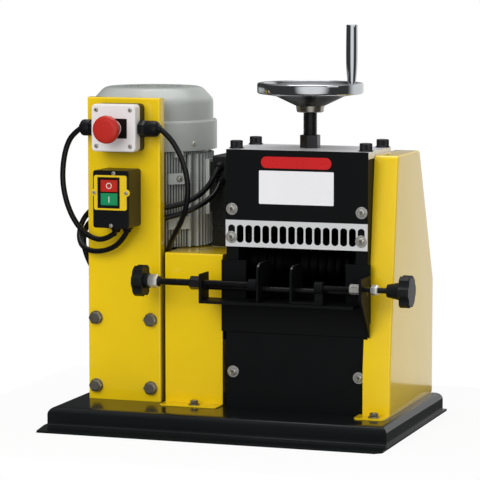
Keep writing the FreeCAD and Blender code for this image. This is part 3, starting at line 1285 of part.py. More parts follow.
def motor_body():
    """Finned motor frame with a bell at its foot, screw pads and lugs for the fan cowl."""
    bore_r = MOTOR_SHAFT_R + RUNNING_GAP
    frame = turned("z", (MOTOR_X, MOTOR_Y), [
        (bore_r, HOUSING_FLANGE_TOP), (MOTOR_BELL_R, HOUSING_FLANGE_TOP),
        (MOTOR_BELL_R, MOTOR_BODY_BOTTOM), (MOTOR_CORE_R, MOTOR_BODY_BOTTOM),
        (MOTOR_CORE_R, MOTOR_BODY_TOP), (bore_r, MOTOR_BODY_TOP),
        (bore_r, STATOR_TOP), (STATOR_R, STATOR_TOP), (STATOR_R, STATOR_BOTTOM), (bore_r, STATOR_BOTTOM),
    ])
    parts = [frame, motor_fins()]
    cowl_inner = COWL_SKIRT_R - COWL_SHEET
    lug_x = (MOTOR_CORE_R - COWL_LUG_SUNK, cowl_inner + COWL_LUG_SUNK)
    lug_z = (COWL_LUG_BOTTOM, COWL_LUG_TOP)
    for index in range(4):
        lug = block(lug_x, (-COWL_LUG_HALF, COWL_LUG_HALF), lug_z)
        lug = lug.common(rod("z", (0, 0), lug_z, cowl_inner))
        parts.append(turned_about_motor(lug, 45 + 90 * index))
    pad_x = (MOTOR_CORE_R - MOTOR_PAD_SUNK, MOTOR_FIN_R + MOTOR_PAD_PROUD)
    for pad_z in MOTOR_PADS:
        pad = block(pad_x, (-MOTOR_PAD_HALF, MOTOR_PAD_HALF), pad_z)
        parts.append(turned_about_motor(pad, MOTOR_PAD_ANGLE))
    parts.append(block(
        (TERMINAL_PAD_LEFT, TERMINAL_PAD_RIGHT),
        (TERMINAL_FRONT + TERMINAL_PAD_INSET, TERMINAL_BACK - 2 * TERMINAL_PAD_INSET),
        (TERMINAL_PAD_BOTTOM, TERMINAL_TOP - TERMINAL_PAD_INSET)))
    return joined(parts)


def fan_cowl():
    """Pressed fan cowl: a wide skirt, a narrower wall, a chamfer and a grille of ring slots."""
    sheet = COWL_SHEET
    step = COWL_STEP_WIDTH
    shell = turned("z", (MOTOR_X, MOTOR_Y), [
        (COWL_SKIRT_R, COWL_BOTTOM), (COWL_SKIRT_R, COWL_STEP), (COWL_WALL_R, COWL_STEP + step),
        (COWL_WALL_R, COWL_SHOULDER), (COWL_FLAT_R, COWL_TOP), (0, COWL_TOP), (0, COWL_TOP - sheet),
        (COWL_FLAT_R - step / 2, COWL_TOP - sheet), (COWL_WALL_R - sheet, COWL_SHOULDER - step / 2),
        (COWL_WALL_R - sheet, COWL_STEP + step / 2), (COWL_SKIRT_R - sheet, COWL_STEP - step / 2),
        (COWL_SKIRT_R - sheet, COWL_BOTTOM),
    ])
    ring_step = COWL_FLAT_R / (COWL_RINGS + 0.6)
    sector = 360.0 / COWL_SECTORS
    through = (COWL_TOP - 2 * sheet, COWL_TOP + sheet)
    reach = COWL_FLAT_R * 1.5
    for ring in range(COWL_RINGS):
        outer = ring_step * (ring + 1.45)
        inner = outer - ring_step * COWL_RING_SHARE
        wedge_angle = math.radians(sector / 2) - COWL_RIB_HALF / outer
        half = reach * math.tan(wedge_angle)
        for index in range(COWL_SECTORS):
            cut = tube("z", (0, 0), through, outer, inner)
            cut = cut.common(prism("z", [(0, 0), (reach, -half), (reach, half)], through))
            shell = shell.cut(turned_about_motor(cut, index * sector))
    return shell


def cooling_fan():
    """Radial fan on the motor's tail: a hub, a back disc and straight blades."""
    centre = (MOTOR_X, MOTOR_Y)
    blade_x = (MOTOR_SHAFT_R + FAN_HUB_WALL / 2, FAN_R)
    parts = [
        rod("z", centre, (FAN_BOTTOM, FAN_TOP), MOTOR_SHAFT_R + FAN_HUB_WALL),
        rod("z", centre, (FAN_BOTTOM, FAN_BOTTOM + FAN_DISC), FAN_R * FAN_DISC_SHARE),
    ]
    for index in range(FAN_BLADES):
        blade = block(blade_x, (-FAN_BLADE_HALF, FAN_BLADE_HALF), (FAN_BOTTOM, FAN_TOP - FAN_DISC))
        parts.append(turned_about_motor(blade, 360.0 * index / FAN_BLADES))
    return joined(parts).cut(rod("z", centre, (FAN_BOTTOM, FAN_TOP), MOTOR_SHAFT_R))


def terminal_box():
    """Tall terminal box on the motor's right side, on a short neck."""
    y = (TERMINAL_FRONT, TERMINAL_BACK)
    box = block((TERMINAL_LEFT, TERMINAL_RIGHT), y, (TERMINAL_BOTTOM, TERMINAL_TOP))
    box = rounded(box, TERMINAL_CORNER,
                  lambda edge: at_level(edge, "x", TERMINAL_RIGHT) or along(edge, "x"))
    inset = TERMINAL_PAD_INSET + TERMINAL_NECK_INSET
    neck = block((TERMINAL_PAD_RIGHT, TERMINAL_LEFT + TERMINAL_CORNER), (y[0] + inset, y[1] - 2 * inset),
                 (TERMINAL_PAD_BOTTOM + TERMINAL_NECK_INSET, TERMINAL_TOP - inset))
    return joined([box, neck])


# ---------------------------------------------------------------- controls
def estop_base():
    """Back shell of the stop box, with the well that the button's stem moves in."""
    x = (ESTOP_LEFT, ESTOP_LEFT + ESTOP_SIDE)
    z = (ESTOP_BOTTOM, ESTOP_BOTTOM + ESTOP_SIDE)
    shell = rounded(block(x, (ESTOP_SPLIT, TOWER_FRONT), z), ESTOP_CORNER, lambda edge: along(edge, "y"))
    well = (ESTOP_SPLIT, TOWER_FRONT - ESTOP_BACK_WALL)
    well_r = MUSHROOM_STEM_R + MUSHROOM_STEM_ROOM
    return shell.cut(rod("y", (ESTOP_X, MUSHROOM_Z), well, well_r))


def estop_cover():
    """Front shell of the stop box with rounded edges and a hole for the stem."""
    x = (ESTOP_LEFT, ESTOP_LEFT + ESTOP_SIDE)
    z = (ESTOP_BOTTOM, ESTOP_BOTTOM + ESTOP_SIDE)
    shell = rounded(block(x, (ESTOP_FRONT, ESTOP_SPLIT), z), ESTOP_CORNER, lambda edge: along(edge, "y"))
    shell = rounded(shell, ESTOP_EDGE, lambda edge: at_level(edge, "y", ESTOP_FRONT))
    through = (ESTOP_FRONT, ESTOP_SPLIT)
    return shell.cut(rod("y", (ESTOP_X, MUSHROOM_Z), through, MUSHROOM_STEM_R + END_GAP))


def estop_button():
    """Mushroom head and its stem."""
    edge = MUSHROOM_EDGE
    back = MUSHROOM_FACE + MUSHROOM_THICK
    stem_end = ESTOP_SPLIT + MUSHROOM_STEM_END
    return turned("y", (ESTOP_X, MUSHROOM_Z), [
        (0, MUSHROOM_FACE), (MUSHROOM_R - 4 * edge, MUSHROOM_FACE + edge / 2),
        (MUSHROOM_R - edge, MUSHROOM_FACE + 2 * edge), (MUSHROOM_R, MUSHROOM_FACE + 4 * edge),
        (MUSHROOM_R, back - 2 * edge), (MUSHROOM_R - edge, back - edge),
        (MUSHROOM_STEM_R + MUSHROOM_FLARE, back), (MUSHROOM_STEM_R, back + 2 * edge),
        (MUSHROOM_STEM_R, stem_end), (0, stem_end),
    ])


def switch_box():
    """Switch body with a raised rim round its two buttons."""
    x = (SWITCH_LEFT, SWITCH_RIGHT)
    shell = block(x, (SWITCH_FRONT, TOWER_FRONT), (SWITCH_BOTTOM, SWITCH_TOP))
    shell = rounded(shell, SWITCH_CORNER, lambda edge: along(edge, "y"))
    well_x, well_z = button_well(0)
    rim_x, rim_z = button_well(BUTTON_RIM)
    rim = block(rim_x, (SWITCH_FRONT - BUTTON_RIM, SWITCH_FRONT), rim_z)
    floor = SWITCH_FRONT + BUTTON_DEPTH + BUTTON_TRAVEL + BUTTON_FLOOR
    return joined([shell, rim]).cut(block(well_x, (SWITCH_FRONT - BUTTON_RIM, floor), well_z))


def button_well(rim):
    """The pocket that both buttons move in, grown by `rim` on every side, as x and z spans."""
    half = BUTTON_WIDTH / 2 + FLAT_GAP + rim
    reach = BUTTON_GAP / 2 + BUTTON_HEIGHT + FLAT_GAP + rim
    return (BUTTON_X - half, BUTTON_X + half), (BUTTON_SPLIT_Z - reach, BUTTON_SPLIT_Z + reach)


def switch_button(direction):
    """One push button: `direction` is +1 for the upper and -1 for the lower."""
    near = BUTTON_SPLIT_Z + direction * BUTTON_GAP / 2
    far = near + direction * BUTTON_HEIGHT
    half = BUTTON_WIDTH / 2
    front = SWITCH_FRONT - BUTTON_RIM + BUTTON_RECESS
    button = block((BUTTON_X - half, BUTTON_X + half), (front, SWITCH_FRONT + BUTTON_DEPTH),
                   tuple(sorted((near, far))))
    return rounded(button, BUTTON_EDGE, lambda edge: at_level(edge, "y", front))


def switch_faceplate():
    """Yellow plate round the rim, with a small ear at each side."""
    centre_x = (SWITCH_LEFT + SWITCH_RIGHT) / 2
    half = FACEPLATE_SIDE / 2
    y = (SWITCH_FRONT - FACEPLATE_SHEET, SWITCH_FRONT)
    plate = block((centre_x - half, centre_x + half), y, (BUTTON_SPLIT_Z - half, BUTTON_SPLIT_Z + half))
    plate = rounded(plate, FACEPLATE_CORNER, lambda edge: along(edge, "y"))
    ear_z = (BUTTON_SPLIT_Z - FACEPLATE_EAR, BUTTON_SPLIT_Z + FACEPLATE_EAR)
    ears = block((SWITCH_LEFT, SWITCH_RIGHT), y, ear_z)
    rim_x, rim_z = button_well(BUTTON_RIM)
    return joined([plate, ears]).cut(block(rim_x, y, rim_z))


# ---------------------------------------------------------------- cables
def gland(root, tip):
    """Gland on one side of the stop box: a hexagonal body and a round clamping nut."""
    middle = (root + tip) / 2
    taper = tip - (tip - root) * 0.2
    centre = (GLAND_Y, GLAND_Z)
    return joined([
        hexagon("x", centre, tuple(sorted((root, middle))), GLAND_R * math.sqrt(3)),
        rod("x", centre, tuple(sorted((middle, taper))), GLAND_R - GLAND_NUT_LESS),
        rod("x", centre, tuple(sorted((taper, tip))), GLAND_NUT_R),
    ])


def grommet(axis, centre, face, outward):
    """Domed rubber grommet on a face; the cable goes into the dome."""
    top = face + outward * GROMMET_PROUD
    return turned(axis, centre, [
        (0, face), (GROMMET_R, face), (GROMMET_R, face + outward * GROMMET_PROUD * 0.35),
        (GROMMET_R * 0.8, face + outward * GROMMET_PROUD * 0.75), (GROMMET_R * 0.45, top), (0, top),
    ])


def cable_glands():
    """Two glands on the stop box and a grommet wherever a cable enters another piece."""
    pieces = [gland(ESTOP_LEFT, GLAND_LEFT_TIP), gland(ESTOP_RIGHT, GLAND_RIGHT_TIP)]
    pieces += [grommet("z", at, SWITCH_BOTTOM, -1) for at in SWITCH_GROMMETS]
    pieces += [grommet("y", at, TERMINAL_FRONT, -1) for at in TERMINAL_GROMMETS]
    pieces += [grommet("z", at, BASE_TOP, 1) for at in BASE_GROMMETS]
    return pieces


def cable(points):
    """A cable: straight runs joined by tangent arcs, each as large as its two runs allow."""
    corners = [V(*point) for point in points]
    edges = []
    radii = []
    start = corners[0]
    for before, corner, after in zip(corners, corners[1:], corners[2:]):
        inward = (before - corner).normalize()
        outward = (after - corner).normalize()
        turn = math.pi - inward.getAngle(outward)
        trim = 0.45 * min((corner - before).Length, (after - corner).Length)
        radii.append(trim / math.tan(turn / 2))
        first = corner + inward * trim
        last = corner + outward * trim
        centre_way = (inward + outward).normalize()
        centre = corner + centre_way * math.hypot(trim, radii[-1])
        middle = centre - centre_way * radii[-1]
        edges.append(Part.LineSegment(start, first).toShape())
        edges.append(Part.Arc(first, middle, last).toShape())
        start = last
    edges.append(Part.LineSegment(start, corners[-1]).toShape())
    path = Part.Wire(edges)
    circle = Part.Circle(corners[0], corners[1] - corners[0], CABLE_R).toShape()
    swept = path.makePipeShell([Part.Wire([circle])], True, True)
    expected = math.pi * CABLE_R ** 2 * path.Length
    print("cable length %.1f, volume ratio %.4f, least radius %.1f, radii %s" % (
        path.Length, swept.Volume / expected, min(radii), [round(radius) for radius in radii]))
    return swept


def main():
    os.makedirs("parts", exist_ok=True)
    phases = gear_phases()
    save("base_tray", base_tray())
    save("tower_panel", tower_panel())
    save("tower_bolts", tower_bolts())
    save("coupling_cover", coupling_cover())
    save("gear_cover", gear_cover())
    save("left_cheek", cheek("left"))
    save("right_cheek", cheek("right"))
    save("top_plate", top_plate())
    save("top_plate_screws", top_plate_screws())
    save("screw_bush", screw_bush())
    save("front_cover", front_cover())
    save("slotted_plate", slotted_plate())
    save("front_screws", front_screws())
    save("lower_front_panel", lower_front_panel())
    save("rear_cover", rear_cover())
    save("guide_carrier", guide_carrier())
    save("guide_shelf", guide_shelf())
    save("guide_rod", guide_rod())
    save("thread_nuts", thread_nuts())
    save("reducer_stand", reducer_stand())
    save("reducer_housing", reducer_housing())
    save("motor_body", motor_body())
    save("terminal_box", terminal_box())
    save("fan_cowl", fan_cowl())
    save("estop_base", estop_base())
    save("estop_cover", estop_cover())
    save("switch_box", switch_box())
    save("switch_faceplate", switch_faceplate())
    save("cable_glands", cable_glands())
    for name, points in CABLE_ROUTES.items():
        save(name, cable(points))
    save("frame_bushes", frame_bushes())
    save("blade_block", blade_block())
    save("blade_shaft", blade_shaft())
    save("slitting_blades", slitting_blades())
    save("blade_gear", keyed_gear(SHAFT_Y, BLADE_Z, phases["blade"]))
    save("feed_shaft", feed_shaft())
    save("feed_rollers", feed_rollers())
    save("feed_gear", keyed_gear(SHAFT_Y, FEED_Z, phases["feed"]))
    save("idler_gear", idler_gear(phases["idler"]))
    save("drive_shaft", drive_shaft())
    save("drive_gear", keyed_gear(SHAFT_Y, DRIVE_Z, phases["drive"]))
    save("worm_wheel", worm_wheel())
    save("motor_shaft", motor_shaft())
    save("cooling_fan", cooling_fan())
    save("pressure_screw", pressure_screw())
    save("handwheel", handwheel())
    save("crank_grip", crank_grip())
    save("left_guide", left_guide())
    save("left_screw", left_screw())
    save("left_knob", left_knob())
    save("right_guide", right_guide())
    save("right_screw", right_screw())
    save("right_knob", right_knob())
    save("estop_button", estop_button())
    save("start_button", switch_button(-1))
    save("stop_button", switch_button(1))


main()
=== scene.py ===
"""Dressed model of a motor-driven bench wire stripper, built piece by piece round its frame.

Lengths are metres: X to the right of the operator, Y to the back, Z up.
"""
import math

import bmesh
import bpy
from mathutils import Matrix, Vector


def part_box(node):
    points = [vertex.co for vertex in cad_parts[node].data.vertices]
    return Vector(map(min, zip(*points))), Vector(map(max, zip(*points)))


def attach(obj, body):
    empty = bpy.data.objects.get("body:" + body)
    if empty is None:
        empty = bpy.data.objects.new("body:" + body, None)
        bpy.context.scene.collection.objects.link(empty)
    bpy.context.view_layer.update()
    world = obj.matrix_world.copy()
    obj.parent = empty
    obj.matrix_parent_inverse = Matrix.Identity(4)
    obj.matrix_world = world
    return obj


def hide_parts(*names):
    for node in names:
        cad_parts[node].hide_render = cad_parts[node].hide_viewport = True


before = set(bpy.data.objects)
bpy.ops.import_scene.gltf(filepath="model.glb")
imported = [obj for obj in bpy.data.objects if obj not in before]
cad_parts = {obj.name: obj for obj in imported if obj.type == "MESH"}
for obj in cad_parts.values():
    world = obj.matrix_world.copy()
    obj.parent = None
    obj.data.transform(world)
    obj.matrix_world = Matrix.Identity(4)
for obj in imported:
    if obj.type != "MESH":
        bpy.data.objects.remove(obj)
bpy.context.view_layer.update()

# ---------------------------------------------------------------- camera
# A long lens stands at the machine's front right, a little above its head, and looks slightly down.
# It is so far off that the tower's upright edges stay nearly parallel.
CAMERA_PLACE = (1.193, -3.5429, 0.6684)
CAMERA_TILT = 83.82
CAMERA_TURN = 18.8
camera_data = bpy.data.cameras.new("camera")
camera_data.lens = 193.94
camera_data.sensor_width = 36.0
camera_data.clip_end = 50.0
camera = bpy.data.objects.new("camera", camera_data)
camera.location = CAMERA_PLACE
camera.rotation_euler = (math.radians(CAMERA_TILT), 0.0, math.radians(CAMERA_TURN))
bpy.context.scene.collection.objects.link(camera)
bpy.context.scene.camera = camera

# ---------------------------------------------------------------- cables
# Four round black rubber leads of one size link the stop box, the switch, the motor and the base.
# Each is pushed through a gland or grommet at both ends and hangs free between them.
CABLE_DIAMETER = 0.008
RUBBER_BLACK = (0.0045, 0.0048, 0.0055, 1.0)
NOISE_DETAIL = 4.0
NOISE_MIDDLE = (0.3, 0.7)
BROAD_SHARE = 0.04
# Each lead's length in metres, and its route in millimetres from the end where it leaves.
ROUTE_UNIT = 1000
LEADS = (
    ("cable_estop_switch", 0.2263, (
        (-226, -83, 428), (-241, -83, 418), (-251, -83, 399), (-256, -83, 375), (-257, -83, 349),
        (-252, -84, 323), (-242, -85, 299), (-228, -86, 280), (-210, -87, 268), (-189, -88, 266),
        (-173, -88, 277))),
    ("cable_switch_motor", 0.396, (
        (-156, -82, 281), (-165, -81, 266), (-180, -80, 254), (-199, -79, 248), (-219, -75, 248),
        (-236, -64, 254), (-247, -47, 267), (-246, -36, 288), (-230, -37, 306), (-207, -43, 315),
        (-180, -49, 316), (-151, -49, 313), (-124, -42, 310), (-101, -32, 313), (-81, -18, 321),
        (-66, -2, 334), (-58, 11, 351), (-56, 26, 366))),
    ("cable_estop_base", 0.4306, (
        (-108, -83, 430), (-93, -83, 419), (-79, -82, 399), (-69, -81, 375), (-64, -80, 348),
        (-67, -77, 321), (-77, -71, 296), (-92, -61, 275), (-105, -49, 256), (-113, -40, 234),
        (-116, -36, 208), (-118, -35, 178), (-116, -34, 137), (-118, -36, 85), (-118, -36, 33))),
    ("cable_motor_base", 0.4958, (
        (-54, 26, 345), (-53, 9, 331), (-63, -8, 318), (-80, -22, 307), (-101, -33, 299),
        (-124, -42, 294), (-150, -49, 292), (-178, -50, 294), (-205, -44, 296), (-228, -36, 291),
        (-244, -27, 278), (-250, -24, 256), (-243, -27, 234), (-229, -32, 213), (-220, -34, 184),
        (-217, -33, 146), (-216, -32, 92), (-216, -31, 38))),
)


def wired(tree, kind, inputs, **settings):
    """A new shader node, each input set to a value, or linked where it is given a socket."""
    node = tree.nodes.new("ShaderNode" + kind)
    for name, value in settings.items():
        setattr(node, name, value)
    for name, value in inputs.items():
        if isinstance(value, bpy.types.NodeSocket):
            tree.links.new(value, node.inputs[name])
        else:
            node.inputs[name].default_value = value
    return node


def grain(tree, scale, stretch):
    """Noise on Object coordinates, drawn out along an axis where `stretch` is small."""
    place = wired(tree, "TexCoord", {}).outputs["Object"]
    drawn = wired(tree, "Mapping", {"Vector": place, "Scale": stretch}).outputs["Vector"]
    noise = wired(tree, "TexNoise", {"Vector": drawn, "Scale": scale, "Detail": NOISE_DETAIL})
    return noise.outputs["Fac"]


def finish_material(name, colour, roughness, grain_scale, relief, metallic=0.0, specular=0.5,
                    shade=0.9, swing=0.15, stretch=(1.0, 1.0, 1.0), patches=None, patched=None):
    """A surface with a fine relief `relief` metres deep and a slightly uneven gloss and colour.

    The colour falls to `shade` of itself, or to `patched`, where the broad grain or the socket
    that `patches` makes is low.
    """
    material = bpy.data.materials.new(name)
    material.use_nodes = True
    tree = material.node_tree
    shader = tree.nodes["Principled BSDF"]
    shader.inputs["Metallic"].default_value = metallic
    shader.inputs["Specular IOR Level"].default_value = specular
    fine = grain(tree, grain_scale, stretch)
    broad = patches(tree) if patches else grain(tree, grain_scale * BROAD_SHARE, stretch)
    ramp = wired(tree, "ValToRGB", {"Fac": broad})
    low_tint = patched or tuple(channel * shade for channel in colour[:3]) + (1.0,)
    for stop, place, tint in zip(ramp.color_ramp.elements, NOISE_MIDDLE, (low_tint, colour)):
        stop.position = place
        stop.color = tint
    gloss = wired(tree, "MapRange", {
        "Value": fine, "From Min": NOISE_MIDDLE[0], "From Max": NOISE_MIDDLE[1],
        "To Min": roughness * (1 - swing), "To Max": roughness * (1 + swing)})
    bump = wired(tree, "Bump", {"Height": fine, "Strength": 1.0, "Distance": relief})
    tree.links.new(ramp.outputs["Color"], shader.inputs["Base Color"])
    tree.links.new(gloss.outputs["Result"], shader.inputs["Roughness"])
    tree.links.new(bump.outputs["Normal"], shader.inputs["Normal"])
    return material


rubber = finish_material("black rubber sheath", RUBBER_BLACK, roughness=0.27, grain_scale=900.0,
                         relief=0.00001, specular=0.34)
for node, length, route in LEADS:
    curve = bpy.data.curves.new(node + "_lead", "CURVE")
    curve.dimensions = "3D"
    curve.resolution_u = 10
    curve.bevel_depth = CABLE_DIAMETER / 2
    curve.bevel_resolution = 6
    curve.use_fill_caps = True
    spline = curve.splines.new("NURBS")
    spline.points.add(len(route) - 1)
    for point, place in zip(spline.points, route):
        point.co = (place[0] / ROUTE_UNIT, place[1] / ROUTE_UNIT, place[2] / ROUTE_UNIT, 1.0)
    spline.order_u = 3
    spline.use_endpoint_u = True
    curve.materials.append(rubber)
    cable = bpy.data.objects.new(node + "_lead", curve)
    bpy.context.scene.collection.objects.link(cable)
    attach(cable, "frame")
    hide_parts(node)

# ---------------------------------------------------------------- base tray
# A pressed steel tray with a rounded top edge, a bench lip all round and two drilled foot flanges.
# Its front wall runs out to the lip in a small rolled cove.
# It is powder coated in a deep gloss black, which flows out smooth with a faint orange peel.
TRAY_EDGE = 0.0007
TRAY_WALL = -0.156
TRAY_HALF = 0.2526
TRAY_LIP_TOP = 0.003
COVE_R = 0.005
GLOSS_BLACK = (0.0078, 0.0095, 0.0100, 1.0)
SHARP_ANGLE = 35.0
FLAT_ANGLE = 0.5
CAD_WELD = 0.000002
gloss_black = finish_material("gloss black powder coat", GLOSS_BLACK, roughness=0.17,
                              grain_scale=420.0, relief=0.000006, specular=0.24)


def finished(name, form, material, body, nodes, sharp):
    """The form as an object, smooth up to the `sharp` angle, that stands for the named nodes."""
    mesh = bpy.data.meshes.new(name)
    form.to_mesh(mesh)
    form.free()
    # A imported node's own corner normals would show flat shading on the rounded edges.
    if "custom_normal" in mesh.attributes:
        mesh.attributes.remove(mesh.attributes["custom_normal"])
    mesh.materials.append(material)
    mesh.shade_smooth()
    mesh.set_sharp_from_angle(angle=math.radians(sharp))
    piece = bpy.data.objects.new(name, mesh)
    bpy.context.scene.collection.objects.link(piece)
    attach(piece, body)
    if nodes:
        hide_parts(*nodes)
    return piece


def made(name, form, material, body="frame", nodes=(), sharp=SHARP_ANGLE):
    """The finished object of a form modelled here."""
    return finished(name, form, material, body, nodes, sharp)


def softened(node, material, edge, body="frame", segments=2, sharp=SHARP_ANGLE):
    """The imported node's own form with its sharp edges rounded by `edge` and its finish on."""
    form = bmesh.new()
    form.from_mesh(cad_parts[node].data)
    bmesh.ops.remove_doubles(form, verts=form.verts, dist=CAD_WELD)
    bmesh.ops.dissolve_limit(form, angle_limit=math.radians(FLAT_ANGLE), verts=form.verts,
                             edges=form.edges)
    piece = finished(node + "_dressed", form, material, body, (node,), sharp)
    rounding = piece.modifiers.new("softened edges", "BEVEL")
    rounding.width = edge
    rounding.segments = segments
    rounding.limit_method = "ANGLE"
    rounding.angle_limit = math.radians(sharp)
    return piece


def arc(centre, radius, first, last, count):
    """Points on a round corner of a section, from one angle to another in degrees."""
    angles = [math.radians(first + (last - first) * step / count) for step in range(count + 1)]
    return [(centre[0] + radius * math.cos(angle), centre[1] + radius * math.sin(angle))
            for angle in angles]


softened("base_tray", gloss_black, TRAY_EDGE)
cove = bmesh.new()
cove_section = [(TRAY_WALL, TRAY_LIP_TOP)] + arc(
    (TRAY_WALL - COVE_R, TRAY_LIP_TOP + COVE_R), COVE_R, -90.0, 0.0, 6)
cove_end = cove.faces.new([cove.verts.new((-TRAY_HALF, y, z)) for y, z in cove_section])
cove_run = bmesh.ops.extrude_face_region(cove, geom=[cove_end])["geom"]
bmesh.ops.translate(cove, verts=[part for part in cove_run if isinstance(part, bmesh.types.BMVert)],
                    vec=(2 * TRAY_HALF, 0, 0))
bmesh.ops.recalc_face_normals(cove, faces=cove.faces)
made("tray_cove", cove, gloss_black)

# ---------------------------------------------------------------- tower panel
# A tall folded sheet panel with side and top flanges turned to the back.
# It is bolted to the reducer's stand and has a bright yellow powder coat under a hard clear gloss.
YELLOW = (0.90, 0.615, 0.0045, 1.0)
SHEET_EDGE = 0.0004
CLEAR_COAT = {"Coat Weight": 1.0, "Coat Roughness": 0.09, "Coat IOR": 1.6}
yellow_coat = finish_material("yellow powder coat", YELLOW, roughness=0.34, grain_scale=520.0,
                              relief=0.000008, specular=0.12, shade=0.965)
yellow_shader = yellow_coat.node_tree.nodes["Principled BSDF"]
for coat_input, coat_value in CLEAR_COAT.items():
    yellow_shader.inputs[coat_input].default_value = coat_value
softened("tower_panel", yellow_coat, SHEET_EDGE)

# ---------------------------------------------------------------- tower bolts
# Four zinc plated hexagon bolts with plain washers hold the panel to the stand's tapped flanges.
# The heads are cold formed, so their tops are turned to a shallow cone with a round land.
TOWER_BOLT_X = (-0.2135, -0.1285)
TOWER_BOLT_Z = (0.049, 0.149)
TOWER_FACE = -0.063
EDGE_BREAK = 0.0004
WASHER_R = 0.010
WASHER_THICK = 0.0016
WASHER_EASE = 0.0005
BOLT_FLATS = 0.017
BOLT_HEAD = 0.0064
BOLT_TOP = WASHER_THICK + BOLT_HEAD
BOLT_LAND_R = BOLT_FLATS * 0.40
BOLT_CONE_R = BOLT_FLATS * 0.47
BOLT_CONE = (WASHER_THICK + BOLT_HEAD * 0.70, WASHER_THICK + BOLT_HEAD * 0.84)
BOLT_HEX_TOP = WASHER_THICK + BOLT_HEAD * 0.85
BOLT_SHANK_R = 0.005
BOLT_HOLE_R = BOLT_SHANK_R * 0.9
BOLT_REACH = 0.008
OVERLAP = 0.001
WELD = 0.000001
ZINC = (0.40, 0.38, 0.31, 1.0)
FORWARD = Matrix.Rotation(math.radians(90.0), 4, "X")
UPWARD = Matrix.Identity(4)
zinc = finish_material("dull zinc plate", ZINC, roughness=0.32, grain_scale=900.0,
                       relief=0.000008, metallic=0.9, shade=0.72)


def at(x, y, z, turn=UPWARD):
    """The matrix that turns a form and sets its origin at a place."""
    return Matrix.Translation((x, y, z)) @ turn


def shift(form, x=0.0, y=0.0, z=0.0):
    """Move the whole form."""
    bmesh.ops.translate(form, verts=form.verts, vec=(x, y, z))


def lathe(profile, steps=48):
    """A form spun about Z from (radius, height) points, closed on the axis or the first point."""
    form = bmesh.new()
    points = [form.verts.new((radius, 0.0, height)) for radius, height in profile]
    edges = [form.edges.new(pair) for pair in zip(points, points[1:])]
    if profile[0][0] > 0.0:
        edges.append(form.edges.new((points[-1], points[0])))
    bmesh.ops.spin(form, geom=points + edges, cent=(0, 0, 0), axis=(0, 0, 1), angle=2 * math.pi,
                   steps=steps, use_merge=True)
    bmesh.ops.remove_doubles(form, verts=form.verts, dist=WELD)
    bmesh.ops.recalc_face_normals(form, faces=form.faces)
    return form


def round_bar(inner, outer, low, high, steps):
    """A plain round bar along Z, or a sleeve where `inner` is not 0."""
    return lathe([(inner, low), (outer, low), (outer, high), (inner, high)], steps=steps)


def hexagon(flats, low, high, chamfer):
    """A hexagonal prism from `low` to `high` with its rims bevelled."""
    form = bmesh.new()
    corner_r = flats / math.sqrt(3)
    bmesh.ops.create_cone(form, cap_ends=True, segments=6, radius1=corner_r, radius2=corner_r,
                          depth=high - low, matrix=at(0, 0, (low + high) / 2, Matrix.Rotation(
                              math.radians(30.0), 4, "Z")))
    rims = [edge for edge in form.edges
            if abs(edge.verts[0].co.z - edge.verts[1].co.z) < WELD]
    bmesh.ops.bevel(form, geom=rims, offset=chamfer, offset_type="OFFSET", affect="EDGES",
                    segments=2, profile=0.5, material=-1)
    return form


def add(whole, form, place):
    """Add a copy of the form, moved by the matrix, to the whole."""
    mesh = bpy.data.meshes.new("copy")
    form.to_mesh(mesh)
    mesh.transform(place)
    whole.from_mesh(mesh)
    bpy.data.meshes.remove(mesh)


def set_at(places, *forms):
    """One whole with a copy of every form at each of the places."""
    whole = bmesh.new()
    for place in places:
        for form in forms:
            add(whole, form, place)
    for form in forms:
        form.free()
    return whole


bolt_washer = lathe([
    (BOLT_HOLE_R, 0.0), (WASHER_R - 0.0003, 0.0), (WASHER_R, EDGE_BREAK),
    (WASHER_R, WASHER_THICK - WASHER_EASE), (WASHER_R - WASHER_EASE, WASHER_THICK),
    (BOLT_HOLE_R, WASHER_THICK),
])
bolt_crown = lathe([
    (0.0, BOLT_TOP), (BOLT_LAND_R, BOLT_TOP), (BOLT_CONE_R, BOLT_CONE[1]),
    (BOLT_CONE_R, BOLT_CONE[0]), (0.0, BOLT_CONE[0]),
])
bolts = set_at(
    [at(x, TOWER_FACE, z, FORWARD) for x in TOWER_BOLT_X for z in TOWER_BOLT_Z],
    hexagon(BOLT_FLATS, WASHER_THICK, BOLT_HEX_TOP, EDGE_BREAK), bolt_crown, bolt_washer,
    round_bar(0.0, BOLT_SHANK_R, -BOLT_REACH, WASHER_THICK + OVERLAP, steps=24))
made("tower_bolts_dressed", bolts, zinc, nodes=("tower_bolts",))

# ---------------------------------------------------------------- covers and their foot screws
# A folded box over the coupling and a welded case over the gears, both in the tower's yellow coat.
# Small hexagon screws with washers hold their front feet down on the tray.
FOOT_SCREW_PLACES = ((-0.056, -0.079), (0.218, -0.097))
FOOT_TOP = 0.031
FOOT_SCREW_FLATS = 0.011
FOOT_WASHER_HOLE_R = 0.002
FOOT_WASHER_R = 0.0086
FOOT_WASHER = 0.0014
FOOT_HEAD_TOP = 0.0062
FOOT_TIP_R = 0.0050
FOOT_TIP_TOP = 0.0069
for node in ("coupling_cover", "gear_cover"):
    softened(node, yellow_coat, SHEET_EDGE)
foot_washer = lathe([
    (FOOT_WASHER_HOLE_R, 0.0), (FOOT_WASHER_R - EDGE_BREAK, 0.0), (FOOT_WASHER_R, EDGE_BREAK),
    (FOOT_WASHER_R, FOOT_WASHER - EDGE_BREAK), (FOOT_WASHER_R - EDGE_BREAK, FOOT_WASHER),
    (FOOT_WASHER_HOLE_R, FOOT_WASHER),
], steps=40)
foot_tip = lathe([
    (0.0, 0.005), (FOOT_TIP_R, 0.005), (FOOT_TIP_R, FOOT_TIP_TOP - 0.0005),
    (FOOT_TIP_R - 0.0006, FOOT_TIP_TOP), (0.0, FOOT_TIP_TOP),
], steps=32)
